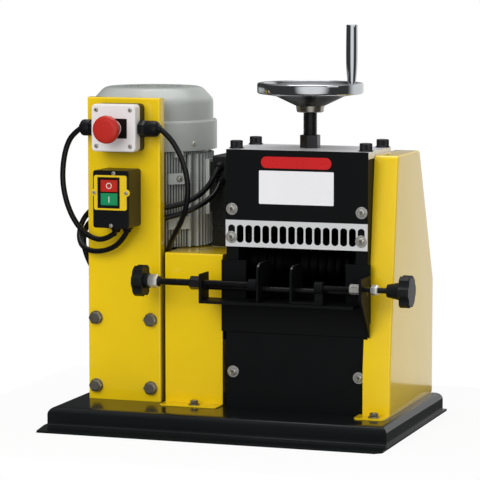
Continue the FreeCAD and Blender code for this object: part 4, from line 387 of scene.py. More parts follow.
foot_screws = set_at([at(x, y, FOOT_TOP) for x, y in FOOT_SCREW_PLACES],
                     hexagon(FOOT_SCREW_FLATS, FOOT_WASHER, FOOT_HEAD_TOP, EDGE_BREAK),
                     foot_washer, foot_tip)
made("cover_foot_screws", foot_screws, zinc)

# ---------------------------------------------------------------- head: cheeks and sheets
# Two thick steel side plates carry every shaft, and a plain sheet is screwed on below the guides.
# A bent sheet with a low outlet and a folded lip closes the back.
# Plates and sheets have the same satin black coat.
PLATE_EDGE = 0.0006
SATIN_BLACK = (0.0052, 0.0056, 0.0062, 1.0)
OUTLET_LIP = ((0.0215, 0.1715), (0.0474, 0.0486), (0.239, 0.301))
satin_black = finish_material("satin black coat", SATIN_BLACK, roughness=0.50, grain_scale=900.0,
                              relief=0.00001, specular=0.13)


def block(*spans):
    """A block that fills the given spans along X, Y and Z."""
    form = bmesh.new()
    bmesh.ops.create_cube(form, size=1.0)
    bmesh.ops.scale(form, verts=form.verts, vec=[high - low for low, high in spans])
    shift(form, *[(low + high) / 2 for low, high in spans])
    return form


for node in ("left_cheek", "right_cheek"):
    softened(node, satin_black, PLATE_EDGE)
for node in ("lower_front_panel", "rear_cover"):
    softened(node, satin_black, SHEET_EDGE)
made("rear_outlet_lip", block(*OUTLET_LIP), satin_black)

# ---------------------------------------------------------------- top plate and its cap screws
# A ground steel plate ties the cheeks together and closes the windows of the bearing blocks.
# Four blackened socket cap screws with knurled heads stand on washers at its corners.
CAP_X = (0.0005, 0.1925)
CAP_Y = (-0.055, 0.032)
HEAD_LID = 0.401
CAP_HEAD_R = 0.009
CAP_HEAD = 0.010
CAP_RIM = 0.12
CAP_SHOULDER = 0.93
CAP_WASHER_R = 0.0105
CAP_SHANK_R = 0.005
CAP_REACH = 0.028
CAP_SOCKET_FLATS = 0.008
CAP_SOCKET_DEPTH = 0.005
KNURLS = 36
KNURL_GROOVE = 0.965
GROUND_STEEL = (0.94, 0.94, 0.96, 1.0)
BLACKENED = (0.045, 0.045, 0.049, 1.0)
ground_steel = finish_material("ground steel", GROUND_STEEL, roughness=0.34, grain_scale=900.0,
                               relief=0.000006, metallic=0.2, shade=0.86,
                               stretch=(0.05, 1.0, 1.0))
blackened = finish_material("blackened steel", BLACKENED, roughness=0.25, grain_scale=900.0,
                            relief=0.000008, metallic=0.8, shade=0.6)


def washer(hole, radius, thick, ease):
    """A flat washer on z = 0 whose upper edge is eased."""
    return lathe([(hole, 0.0), (radius, 0.0), (radius, thick - ease), (radius - ease, thick),
                  (hole, thick)])


def off_facet(vertex):
    """The angle from the middle of the nearest side of a hexagon to the vertex."""
    angle = math.atan2(vertex.co.y, vertex.co.x)
    return angle % math.radians(60.0) - math.radians(30.0)


softened("top_plate", ground_steel, PLATE_EDGE)
cap_head = bmesh.new()
bmesh.ops.create_cone(cap_head, cap_ends=True, segments=2 * KNURLS, radius1=CAP_HEAD_R,
                      radius2=CAP_HEAD_R, depth=CAP_HEAD, matrix=at(0, 0, CAP_HEAD / 2))
cap_top = max(cap_head.faces, key=lambda face: face.calc_center_median().z)
bmesh.ops.inset_region(cap_head, faces=[cap_top], thickness=CAP_HEAD_R * CAP_RIM)
for vertex in cap_head.verts:
    if vertex.co.xy.length > CAP_HEAD_R * (1 - CAP_RIM / 2):
        if vertex.co.z > CAP_HEAD / 2:
            vertex.co.z = CAP_HEAD * CAP_SHOULDER
        if round(math.atan2(vertex.co.y, vertex.co.x) / (math.pi / KNURLS)) % 2:
            vertex.co.xy *= KNURL_GROOVE
bmesh.ops.inset_region(cap_head, faces=[cap_top],
                       thickness=CAP_HEAD_R * (1 - CAP_RIM) - CAP_SOCKET_FLATS / math.sqrt(3))
for vertex in cap_top.verts:
    vertex.co.xy = vertex.co.xy.normalized() * (CAP_SOCKET_FLATS / 2) / math.cos(off_facet(vertex))
cap_floor = bmesh.ops.extrude_face_region(cap_head, geom=[cap_top])["geom"]
bmesh.ops.translate(cap_head, vec=(0, 0, -CAP_SOCKET_DEPTH),
                    verts=[part for part in cap_floor if isinstance(part, bmesh.types.BMVert)])
bmesh.ops.delete(cap_head, geom=[cap_top], context="FACES_ONLY")
bmesh.ops.recalc_face_normals(cap_head, faces=cap_head.faces)
shift(cap_head, z=WASHER_THICK)
caps = set_at([at(x, y, HEAD_LID) for x in CAP_X for y in CAP_Y],
              washer(CAP_SHANK_R * 0.9, CAP_WASHER_R, WASHER_THICK, EDGE_BREAK), cap_head,
              round_bar(0.0, CAP_SHANK_R, -CAP_REACH, OVERLAP / 2, steps=24))
made("top_cap_screws", caps, blackened, nodes=("top_plate_screws",))

# ---------------------------------------------------------------- screw bush and pressure screw
# A blackened hexagonal nut sits in the top plate; a coarse threaded spindle turns down through it.
# The spindle's plain foot turns in the blade beam under a collar.
SPINDLE_X = 0.0965
SPINDLE_Y = -0.010
SPINDLE_R = 0.010
SPINDLE_CORE_R = 0.0092
SPINDLE_BAR_R = SPINDLE_CORE_R * 0.98
SPINDLE_PITCH = 0.0025
SPINDLE_FOOT = 0.3406
SPINDLE_THREAD = (0.364, 0.454)
SPINDLE_TOP = 0.482
COLLAR_R = 0.016
COLLAR = (0.3546, 0.3606)


def thread(crest, core, pitch, turns, steps=32):
    """The open skin of a screw thread along Z, from z = 0."""
    form = bmesh.new()
    section = [(core, 0.0), (crest, pitch * 0.30), (crest, pitch * 0.60), (core, pitch * 0.90),
               (core, pitch)]
    points = [form.verts.new((radius, 0.0, height)) for radius, height in section]
    edges = [form.edges.new(pair) for pair in zip(points, points[1:])]
    bmesh.ops.spin(form, geom=points + edges, cent=(0, 0, 0), axis=(0, 0, 1),
                   angle=2 * math.pi * turns, dvec=(0, 0, pitch / steps), steps=steps * turns)
    bmesh.ops.remove_doubles(form, verts=form.verts, dist=pitch / 100)
    bmesh.ops.recalc_face_normals(form, faces=form.faces)
    return form


softened("screw_bush", blackened, edge=0.0008)
spindle_turns = round((SPINDLE_THREAD[1] - SPINDLE_THREAD[0]) / SPINDLE_PITCH)
spindle = thread(SPINDLE_R, SPINDLE_CORE_R, SPINDLE_PITCH, spindle_turns)
shift(spindle, z=SPINDLE_THREAD[0])
spindle_bar = lathe([
    (0.0, SPINDLE_FOOT), (SPINDLE_R, SPINDLE_FOOT), (SPINDLE_R, COLLAR[0]), (COLLAR_R, COLLAR[0]),
    (COLLAR_R, COLLAR[1]), (SPINDLE_R, COLLAR[1]), (SPINDLE_R, SPINDLE_THREAD[0] + 0.001),
    (SPINDLE_BAR_R, SPINDLE_THREAD[0] + 0.002), (SPINDLE_BAR_R, SPINDLE_THREAD[1]),
    (SPINDLE_R, SPINDLE_THREAD[1] + 0.001), (SPINDLE_R, SPINDLE_TOP), (0.0, SPINDLE_TOP),
])
add(spindle, spindle_bar, UPWARD)
shift(spindle, SPINDLE_X, SPINDLE_Y)
made("pressure_spindle", spindle, blackened, body="handwheel",
     nodes=("pressure_screw",))

# ---------------------------------------------------------------- handwheel
# A dished cast iron wheel, turned and chromium plated all over, keyed to the spindle's top.
# Its hub is left as turned steel, and the underside of its web is coloured nearly black as painted
# shade.
# A pin pressed in near the rim takes the grip.
RIM_R = 0.076
RIM_LOW = 0.4785
RIM_HIGH = 0.4943
RIM_INNER_R = 0.066
DISH_R = 0.0485
DISH_LOW = 0.475
HUB_R = 0.0195
HUB_LOW = 0.452
HUB_HIGH = 0.4612
BOSS_R = 0.014
BOSS_HIGH = 0.4903
BOSS_FOOT_R = BOSS_R + 0.006
PIN_X = 0.0651
PIN_Y = -0.012
PIN_R = 0.004
PIN_ROOT = RIM_HIGH - 0.010
PIN_TOP = 0.5695
CHROME = (0.62, 0.64, 0.67, 1.0)
TURNED_STEEL = (0.46, 0.43, 0.38, 1.0)
UNDERSIDE_SHADE = (0.018, 0.020, 0.021, 1.0)
chrome = finish_material("chromium plate", CHROME, roughness=0.09, grain_scale=260.0,
                         relief=0.000002, metallic=1.0, shade=0.93)
turned_steel = finish_material("turned steel", TURNED_STEEL, roughness=0.24, grain_scale=700.0,
                               relief=0.00002, metallic=1.0, shade=0.8, stretch=(0.3, 0.3, 2.0))
# The web's underside is coloured nearly black as painted shade under the wheel.
shaded_underside = finish_material("chrome underside darkened as painted shade", UNDERSIDE_SHADE, roughness=0.36,
                               grain_scale=420.0, relief=0.00002, metallic=0.9, shade=0.75)
wheel = lathe([
    (DISH_R + 0.0006, DISH_LOW + 0.0008), (DISH_R + 0.001, DISH_LOW), (RIM_R - 0.006, RIM_LOW),
    *arc((RIM_R - 0.0035, RIM_LOW + 0.0035), 0.0035, -90.0, 0.0, 5),
    *arc((RIM_R - 0.003, RIM_HIGH - 0.003), 0.003, 0.0, 90.0, 5),
    *arc((RIM_INNER_R + 0.002, RIM_HIGH - 0.002), 0.002, 90.0, 180.0, 4),
    (RIM_INNER_R - 0.003, RIM_HIGH - 0.006), (DISH_R, DISH_LOW + 0.008),
    (BOSS_FOOT_R, HUB_LOW + 0.0155),
    *arc((BOSS_R + 0.004, HUB_LOW + 0.0195), 0.004, -90.0, -180.0, 4),
    (BOSS_R, BOSS_HIGH - 0.0015), (BOSS_R - 0.0015, BOSS_HIGH), (SPINDLE_R, BOSS_HIGH),
    (SPINDLE_R, HUB_LOW + 0.0140), (BOSS_FOOT_R, HUB_LOW + 0.0125),
], steps=128)
add(wheel, round_bar(0.0, PIN_R, PIN_ROOT, PIN_TOP, steps=32), at(PIN_X, PIN_Y, 0))
shift(wheel, SPINDLE_X, SPINDLE_Y)
made("handwheel_dressed", wheel, chrome, body="handwheel", nodes=("handwheel",),
     sharp=30.0)
hub = lathe([
    (SPINDLE_R, HUB_LOW), (HUB_R - 0.0018, HUB_LOW), (HUB_R - 0.0002, HUB_LOW + 0.0012),
    (HUB_R + 0.0010, HUB_HIGH), (HUB_R - 0.004, HUB_HIGH + 0.001), (SPINDLE_R, HUB_HIGH + 0.001),
], steps=96)
shift(hub, SPINDLE_X, SPINDLE_Y)
made("handwheel_hub", hub, turned_steel, body="handwheel")
underside = lathe([
    (HUB_R - 0.003, HUB_HIGH - 0.0002), (HUB_R + 0.0011, HUB_HIGH), (DISH_R + 0.001, DISH_LOW),
    (DISH_R + 0.0006, DISH_LOW + 0.0012), (HUB_R - 0.003, HUB_HIGH + 0.0030),
], steps=128)
shift(underside, SPINDLE_X, SPINDLE_Y)
made("handwheel_underside", underside, shaded_underside, body="handwheel")

# ---------------------------------------------------------------- crank grip
# A waisted steel sleeve, turned and chromium plated like the wheel.
# It is closed at the top and spins freely on the wheel's pin.
GRIP_LOW = 0.4954
GRIP_TOP = 0.5775
GRIP_BORE_R = PIN_R + 0.0001
GRIP_BORE_TOP = PIN_TOP + 0.0003
GRIP_FOOT_R = 0.006
GRIP_BELLY_R = 0.0082
GRIP_HEAD_R = 0.0080
GRIP_ROUND = 0.001
grip = lathe([
    (GRIP_BORE_R, GRIP_LOW), (GRIP_FOOT_R - 0.0006, GRIP_LOW), (GRIP_FOOT_R, GRIP_LOW + 0.0006),
    (GRIP_FOOT_R + 0.0004, GRIP_LOW + 0.005), (GRIP_FOOT_R + 0.0011, GRIP_LOW + 0.012),
    (GRIP_FOOT_R + 0.0017, GRIP_LOW + 0.020), (GRIP_BELLY_R - 0.0001, GRIP_LOW + 0.030),
    (GRIP_BELLY_R, GRIP_LOW + 0.042), (GRIP_BELLY_R, GRIP_LOW + 0.055),
    (GRIP_HEAD_R, GRIP_TOP - 0.004),
    *arc((GRIP_HEAD_R - GRIP_ROUND, GRIP_TOP - GRIP_ROUND), GRIP_ROUND, 0.0, 90.0, 4),
    (0.0, GRIP_TOP), (0.0, GRIP_BORE_TOP), (GRIP_BORE_R, GRIP_BORE_TOP), (GRIP_BORE_R, GRIP_LOW),
], steps=64)
shift(grip, SPINDLE_X + PIN_X, SPINDLE_Y + PIN_Y)
made("crank_grip_dressed", grip, chrome, body="crank_grip", nodes=("crank_grip",))

# ---------------------------------------------------------------- front cover and its bare plates
# A thin satin black sheet is screwed to the cheeks over the blades.
# A bare white enamel plate and a bare red strip with round ends are stuck on its upper half.
COVER_FACE = -0.075
PLATE_THICK = 0.0005
WHITE_PLATE = ((0.0410, 0.1515), (0.3245, 0.3720))
RED_STRIP = ((0.0440, 0.1480), (0.3755, 0.3920))
WHITE = (0.86, 0.86, 0.88, 1.0)
RED = (0.58, 0.010, 0.012, 1.0)
white_enamel = finish_material("white enamel", WHITE, roughness=0.30, grain_scale=500.0,
                               relief=0.000004, shade=0.97)
red_enamel = finish_material("red enamel", RED, roughness=0.30, grain_scale=500.0,
                             relief=0.000004, shade=0.94)


def front_plate(x_span, z_span, corner, segments):
    """A thin plate on the front cover with round corners."""
    form = block(x_span, (COVER_FACE - PLATE_THICK, COVER_FACE), z_span)
    corners = [edge for edge in form.edges
               if abs(edge.verts[0].co.y - edge.verts[1].co.y) > PLATE_THICK / 2]
    bmesh.ops.bevel(form, geom=corners, offset=corner, offset_type="OFFSET", affect="EDGES",
                    segments=segments, profile=0.5, material=-1)
    return form


softened("front_cover", satin_black, SHEET_EDGE)
made("bare_white_plate", front_plate(*WHITE_PLATE, corner=0.0012, segments=4), white_enamel)
made("bare_red_strip", front_plate(*RED_STRIP, corner=0.00815, segments=12), red_enamel)

# ---------------------------------------------------------------- slotted plate
# A bright satin steel strip, screwed on below the front cover.
# It is punched with a row of round-ended slots that the wires are fed through, a little worn wide,
# and their walls take the blackened steel as painted shade.
STRIP_BORDER = 0.0025
FIRST_SLOT = 0.0005
SLOT_STEP = 0.0128
SLOT_HALF = 0.0045
SLOT_WORN = 0.00055
SLOT_REACH = SLOT_HALF + 0.0001
BRUSHED_STEEL = (0.84, 0.85, 0.86, 1.0)
brushed_steel = finish_material("brushed strip steel", BRUSHED_STEEL, roughness=0.34,
                                grain_scale=700.0, relief=0.000008, metallic=0.3, shade=0.88,
                                stretch=(0.04, 1.0, 1.0))
strip = softened("slotted_plate", brushed_steel, edge=0.0002)
strip.data.materials.append(blackened)
strip_low, strip_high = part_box("slotted_plate")


def within_border(place):
    """Whether a place lies inside the plain border of the strip."""
    return all(strip_low[axis] + STRIP_BORDER < place[axis] < strip_high[axis] - STRIP_BORDER
               for axis in (0, 2))


for point in strip.data.vertices:
    off_centre = (point.co.x - FIRST_SLOT + SLOT_STEP / 2) % SLOT_STEP - SLOT_STEP / 2
    if within_border(point.co) and abs(off_centre) < SLOT_REACH:
        point.co.x += SLOT_WORN * off_centre / SLOT_HALF
# The slot walls take the blackened steel: painted shade inside the slots.
for face in strip.data.polygons:
    if within_border(face.center) and abs(face.normal.y) < 0.5:
        face.material_index = 1

# ---------------------------------------------------------------- front button screws
# Button head screws with hexagonal sockets and washers hold the front sheets on.
# They are turned from steel and bright zinc plated, and their sockets take the duller zinc colour
# as painted shade.
BUTTON_HEAD_R = 0.006
BUTTON_HEAD = 0.0036
BUTTON_SOCKET_R = 0.0029
BUTTON_WASHER_R = 0.0085
BUTTON_WASHER_HOLE_R = 0.0030
BUTTON_SHANK_R = 0.0038
BUTTON_REACH = 0.014
BUTTON_PLACES = (
    (0.0005, -0.077, 0.276), (0.0005, -0.075, 0.316), (0.1925, -0.077, 0.276),
    (0.1925, -0.075, 0.316), (0.0023, -0.075, 0.082), (0.1895, -0.075, 0.082),
)
SOCKET_FACET = 0.88
BRIGHT_ZINC = (0.66, 0.65, 0.61, 1.0)
bright_zinc = finish_material("bright zinc plate", BRIGHT_ZINC, roughness=0.27, grain_scale=900.0,
                              relief=0.000004, metallic=0.7, shade=0.86)


def button_head(radius, height, socket, base=0.0):
    """A domed screw head on z = `base` with a six-sided socket sunk half through it."""
    form = lathe([
        (socket, height * 0.5), (socket, height * 0.97), (socket + 0.0003, height),
        (radius * 0.62, height * 0.93), (radius * 0.84, height * 0.66),
        (radius * 0.96, height * 0.33), (radius, 0.0), (0.0, 0.0), (0.0, height * 0.5),
        (socket, height * 0.5),
    ], steps=36)
    for vertex in form.verts:
        if vertex.co.xy.length < socket + 0.0001:
            vertex.co.xy *= SOCKET_FACET / math.cos(off_facet(vertex))
    for face in form.faces:
        centre = face.calc_center_median()
        if centre.xy.length < socket and height * 0.4 < centre.z < height * 0.9:
            # Socket faces take the second, duller material as painted shade.
            face.material_index = 1
    shift(form, z=base)
    return form


def button_screws(name, places, *forms, nodes=()):
    """Screws made up of the forms at each place, with painted shade in their sockets."""
    made(name, set_at(places, *forms), bright_zinc,
         nodes=nodes).data.materials.append(zinc)


button_screws("front_button_screws", [at(*place, FORWARD) for place in BUTTON_PLACES],
              washer(BUTTON_WASHER_HOLE_R, BUTTON_WASHER_R, WASHER_THICK, WASHER_EASE),
              round_bar(0.0, BUTTON_SHANK_R, -BUTTON_REACH, OVERLAP, steps=24),
              button_head(BUTTON_HEAD_R, BUTTON_HEAD, BUTTON_SOCKET_R, base=WASHER_THICK),
              nodes=("front_screws",))

# ---------------------------------------------------------------- guide carrier, shelf and rod
# A folded steel carrier is screwed across the head; a thick shelf plate with an ear stands on it.
# A turned rod between the ears keeps the wire guides square.  Carrier and shelf are satin black.
GUIDE_ROD_R = 0.004
GUIDE_ROD_Y = -0.092
GUIDE_ROD_Z = 0.205
GUIDE_ROD_EASE = 0.0008
RIGHTWARD = Matrix.Rotation(math.radians(90.0), 4, "Y")
softened("guide_carrier", satin_black, SHEET_EDGE)
softened("guide_shelf", satin_black, SHEET_EDGE)
rod_low, rod_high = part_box("guide_rod")
rod_length = rod_high[0] - rod_low[0]
rod = lathe([
    (0.0, 0.0), (GUIDE_ROD_R - GUIDE_ROD_EASE, 0.0), (GUIDE_ROD_R, GUIDE_ROD_EASE),
    (GUIDE_ROD_R, rod_length - GUIDE_ROD_EASE), (GUIDE_ROD_R - GUIDE_ROD_EASE, rod_length),
    (0.0, rod_length),
], steps=40)
made("guide_rod_dressed", set_at([at(rod_low[0], GUIDE_ROD_Y, GUIDE_ROD_Z, RIGHTWARD)], rod),
     blackened, nodes=("guide_rod",))

# ---------------------------------------------------------------- thread nuts
# Hexagon nuts that the two guide screws turn in are welded to the ears of the shelf and carrier.
# The long left nut is blackened and the right pair is zinc plated.
nuts = softened("thread_nuts", blackened, edge=0.0005)
nuts.data.materials.append(bright_zinc)
for face in nuts.data.polygons:
    face.material_index = 1 if face.center.x > 0.0 else 0

# ---------------------------------------------------------------- wire guides
# Two thin steel blades slide along the rod and shelf and bound the wire from either side.
# They are cut from plate and coated satin black, and their crests carry a lighter bare steel colour
# as a painted highlight.
CREST_DEPTH = 0.010
CREST_SLOPE = 0.7
CREST_HIGHLIGHT = (0.17, 0.17, 0.18, 1.0)
crest_highlight = finish_material("painted highlight on the guide crests", CREST_HIGHLIGHT, roughness=0.38,
                            grain_scale=900.0, relief=0.00001, metallic=0.9, shade=0.6)
for node in ("left_guide", "right_guide"):
    guide = softened(node, satin_black, SHEET_EDGE, body=node)
    guide.data.materials.append(crest_highlight)
    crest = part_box(node)[1][2] - CREST_DEPTH
    for face in guide.data.polygons:
        # Faces on the crest take the lighter steel as a painted highlight.
        if face.center.z > crest and face.normal.z > CREST_SLOPE:
            face.material_index = 1

# ---------------------------------------------------------------- guide screws and lock nuts
# Threaded rods carry the guides: a wide one on the left, and a thin one on the right.
# Each is blackened and locked to its knob by a zinc plated hexagon nut.
GUIDE_SCREW_Y = -0.108
GUIDE_SCREW_Z = 0.212
GUIDE_SCREW_PITCH = 0.002
GUIDE_THREAD_DEPTH = 0.0011
GUIDE_SCREW_EASE = 0.0005
LEFT_SCREW_R = 0.005
LEFT_THREAD = (-0.095, 0.041)
LEFT_NUT = (-0.1135, -0.0995)
LEFT_NUT_FLATS = 0.017
LEFT_COLLAR_R = 0.0075
LEFT_COLLAR_EASE = 0.0006
RIGHT_SCREW_R = 0.004
RIGHT_THREAD = (0.148, 0.2165)
RIGHT_NUT = (0.217, 0.2265)
RIGHT_NUT_FLATS = 0.013


def on_screw_axis(x):
    """The matrix that lays a form made along Z on the guide screws' axis, from x."""
    return at(x, GUIDE_SCREW_Y, GUIDE_SCREW_Z, RIGHTWARD)


def guide_screw(node, radius, span):
    """The skin and core of the node's screw, threaded over `span` and plain out to its ends."""
    start, end = (corner[0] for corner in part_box(node))
    core = radius - GUIDE_THREAD_DEPTH
    turns = round((span[1] - span[0]) / GUIDE_SCREW_PITCH)
    plain = lathe([
        (0.0, start), (radius - GUIDE_SCREW_EASE, start), (radius, start + GUIDE_SCREW_EASE),
        (radius, span[0] + 0.0004), (core * 0.99, span[0] + 0.0014),
        (core * 0.99, span[1] - 0.0004), (radius, span[1] + 0.0004),
        (radius, end - GUIDE_SCREW_EASE), (radius - GUIDE_SCREW_EASE, end), (0.0, end),
    ], steps=32)
    whole = set_at([on_screw_axis(span[0])],
                   thread(radius, core, GUIDE_SCREW_PITCH, turns, steps=20))
    add(whole, plain, on_screw_axis(0.0))
    return whole


left_screw = guide_screw("left_screw", LEFT_SCREW_R, LEFT_THREAD)
collar_length = LEFT_THREAD[0] - LEFT_NUT[1]
collar = lathe([
    (LEFT_SCREW_R * 0.9, 0.0), (LEFT_COLLAR_R, 0.0),
    (LEFT_COLLAR_R, collar_length - LEFT_COLLAR_EASE),
    (LEFT_COLLAR_R - LEFT_COLLAR_EASE, collar_length), (LEFT_SCREW_R * 0.9, collar_length),
], steps=40)
add(left_screw, collar, on_screw_axis(LEFT_NUT[1]))
made("left_screw_dressed", left_screw, blackened, body="left_knob",
     nodes=("left_screw",))
made("right_screw_dressed", guide_screw("right_screw", RIGHT_SCREW_R, RIGHT_THREAD), blackened,
     body="right_knob", nodes=("right_screw",))
for side, flats, nut in (("left", LEFT_NUT_FLATS, LEFT_NUT), ("right", RIGHT_NUT_FLATS, RIGHT_NUT)):
    nut_length = nut[1] - nut[0]
    lock_nut = set_at([on_screw_axis(nut[0])],
                      hexagon(flats, EDGE_BREAK, nut_length - EDGE_BREAK, chamfer=0.0007),
                      round_bar(0.0, flats * 0.46, 0.0, nut_length, steps=40))
    made(side + "_lock_nut", lock_nut, bright_zinc, body=side + "_knob")

# ---------------------------------------------------------------- guide knobs
# Six-lobed knobs of black phenolic are moulded round the outer ends of the guide screws.
# Their lobed heads are shallow, on a round neck that stands against the lock nut.
KNOB_HEAD = 0.021
KNOB_HEAD_SHALLOW = 0.015
PHENOLIC = (0.0085, 0.0095, 0.0098, 1.0)
phenolic = finish_material("black phenolic", PHENOLIC, roughness=0.42, grain_scale=700.0,
                           relief=0.00001, specular=0.25)
for node, outer, inward in (("left_knob", -0.140, 1), ("right_knob", 0.281, -1)):
    knob = softened(node, phenolic, edge=0.0012, body=node, segments=3, sharp=40.0)
    neck = outer + inward * KNOB_HEAD
    for point in knob.data.vertices:
        if (point.co.x - neck) * inward < 0:
            point.co.x = neck + (point.co.x - neck) * KNOB_HEAD_SHALLOW / KNOB_HEAD

# ---------------------------------------------------------------- cutting and feeding train
# Ground and hardened discs, feed rollers and spur gears sit on shafts in bronze bushes.
# A beam that slides between the cheeks carries the blades' shaft; all of it is dull with oil, and
# the steel discs, rollers and shafts are coloured nearly black as painted shade inside the head.
SHADED_TOOL_STEEL = (0.014, 0.014, 0.015, 1.0)
GEAR_STEEL = (0.16, 0.155, 0.15, 1.0)
BRONZE = (0.46, 0.29, 0.11, 1.0)
# This steel is coloured nearly black as painted shade inside the head and the motor.
hardened = finish_material("tool steel darkened as painted shade", SHADED_TOOL_STEEL, roughness=0.42, grain_scale=800.0,
                           relief=0.00001, metallic=1.0, shade=0.7, stretch=(0.1, 1.0, 1.0))
gear_steel = finish_material("hobbed gear steel", GEAR_STEEL, roughness=0.38, grain_scale=700.0,
                             relief=0.000015, metallic=1.0, shade=0.75)
bronze = finish_material("bearing bronze", BRONZE, roughness=0.34, grain_scale=650.0,
                         relief=0.00001, metallic=1.0, shade=0.75)


def coat(material, *nodes):
    """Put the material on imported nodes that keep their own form."""
    for node in nodes:
        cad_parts[node].material_slots[0].material = material


softened("blade_block", blackened, edge=0.0005, body="blade_block")
softened("frame_bushes", bronze, edge=0.0003)
coat(hardened, "blade_shaft", "slitting_blades", "feed_shaft", "feed_rollers", "drive_shaft")
coat(gear_steel, "blade_gear", "feed_gear", "idler_gear", "drive_gear")
coat(bronze, "worm_wheel")

# ---------------------------------------------------------------- reducer stand and housing
# A welded steel stand holds a cast iron worm box whose flange carries the upright motor.
# The stand is satin black, and the casting is sand-rough under grey paint.
CAST_GREY = (0.20, 0.22, 0.22, 1.0)
cast_paint = finish_material("grey paint on casting", CAST_GREY, roughness=0.48,
                             grain_scale=260.0, relief=0.00012, shade=0.85)
softened("reducer_stand", satin_black, PLATE_EDGE)
softened("reducer_housing", cast_paint, edge=0.0010)

# ---------------------------------------------------------------- motor
# A finned aluminium case with its end bell below, in light grey satin paint, with painted shade in
# its grooves in fine lines that follow the turn of the fins.
# Its lower flange is bolted to the worm box, and the worm's shaft leaves it at the bottom.
# Flat feet cast between the fins take button screws.
MOTOR_X = -0.167
MOTOR_Y = 0.053
FIN_FOOT_R = 0.083
FIN_TIP_R = 0.089
RIB_COUNT = 120.0
RIB_VALLEY = (-0.7, -0.1)
RIB_LIGHT = 0.62
LUG_LOW = 0.379
LUG_R = 0.0915
MOTOR_GREY = (0.56, 0.59, 0.58, 1.0)
FIN_SHADE = (0.040, 0.044, 0.044, 1.0)
FLANGE_BORE_R = 0.045
FLANGE_R = 0.094
FLANGE_SPAN = (0.2360, 0.2502)
FLANGE_EASE = 0.001
FLANGE_CUT = -0.006
FOOT_FACE_R = 0.091
FOOT_TURN = Matrix.Rotation(math.radians(-45.0), 4, "Z")
FOOT_HEIGHTS = (0.286, 0.351)
PAD_WASHER_R = 0.0052
PAD_WASHER_TOP = 0.0013


def painted_fin_shade(tree):
    """A socket for painted shade, low in the grooves of the case by the radius and the turn of the
    ribs.
    """
    place = wired(tree, "TexCoord", {}).outputs["Object"]
    from_axis = wired(tree, "Mapping", {
        "Vector": place, "Location": (-MOTOR_X, -MOTOR_Y, 0.0), "Scale": (1.0, 1.0, 0.0)})
    radius = wired(tree, "VectorMath", {0: from_axis.outputs["Vector"]}, operation="LENGTH")
    depth = wired(tree, "MapRange", {
        "Value": radius.outputs["Value"], "From Min": FIN_FOOT_R, "From Max": FIN_TIP_R})
    parts = wired(tree, "SeparateXYZ", {"Vector": from_axis.outputs["Vector"]})
    bearing = wired(tree, "Math", {0: parts.outputs["Y"], 1: parts.outputs["X"]},
                    operation="ARCTAN2")
    phase = wired(tree, "Math", {0: bearing.outputs["Value"], 1: RIB_COUNT}, operation="MULTIPLY")
    wave = wired(tree, "Math", {0: phase.outputs["Value"]}, operation="SINE")
    ribs = wired(tree, "MapRange", {
        "Value": wave.outputs["Value"], "From Min": RIB_VALLEY[0], "From Max": RIB_VALLEY[1],
        "To Max": RIB_LIGHT})
    highest = wired(tree, "Math", {0: depth.outputs["Result"], 1: ribs.outputs["Result"]},
                    operation="MAXIMUM")
    return highest.outputs["Value"]


# The colour darkens in the grooves as painted shade between the fins.
motor_paint = finish_material("light grey satin paint with painted fin shade", MOTOR_GREY, roughness=0.27,
                              grain_scale=700.0, relief=0.00001, patches=painted_fin_shade,
                              patched=FIN_SHADE)
motor_case = softened("motor_body", motor_paint, SHEET_EDGE)
for point in motor_case.data.vertices:
    arm = Vector((point.co.x - MOTOR_X, point.co.y - MOTOR_Y))
    if point.co.z > LUG_LOW and arm.length > LUG_R:
        arm *= LUG_R / arm.length
        point.co.xy = (MOTOR_X + arm.x, MOTOR_Y + arm.y)
coat(hardened, "motor_shaft")
coat(phenolic, "cooling_fan")
flange = lathe([
    (FLANGE_BORE_R, FLANGE_SPAN[0]), (FLANGE_R - FLANGE_EASE, FLANGE_SPAN[0]),
    (FLANGE_R, FLANGE_SPAN[0] + FLANGE_EASE), (FLANGE_R, FLANGE_SPAN[1] - FLANGE_EASE),
    (FLANGE_R - FLANGE_EASE, FLANGE_SPAN[1]), (FLANGE_BORE_R, FLANGE_SPAN[1]),
], steps=96)
bmesh.ops.bisect_plane(flange, geom=flange.verts[:] + flange.edges[:] + flange.faces[:],
                       plane_co=(0, FLANGE_CUT, 0), plane_no=(0, -1, 0), clear_outer=True)
bmesh.ops.holes_fill(flange, edges=[edge for edge in flange.edges if edge.is_boundary])
bmesh.ops.recalc_face_normals(flange, faces=flange.faces)
shift(flange, MOTOR_X, MOTOR_Y)
made("motor_mounting_flange", flange, satin_black)
pad_washer = lathe([
    (0.0020, -OVERLAP), (PAD_WASHER_R, -OVERLAP), (PAD_WASHER_R, PAD_WASHER_TOP - WASHER_EASE),
    (PAD_WASHER_R - EDGE_BREAK, PAD_WASHER_TOP), (0.0020, PAD_WASHER_TOP),
], steps=36)
button_screws("motor_foot_screws",
              [at(MOTOR_X, MOTOR_Y, height, FOOT_TURN) @ at(FOOT_FACE_R, 0, 0, RIGHTWARD)
               for height in FOOT_HEIGHTS], pad_washer,
              button_head(radius=0.0036, height=0.0024, socket=0.0015, base=PAD_WASHER_TOP))

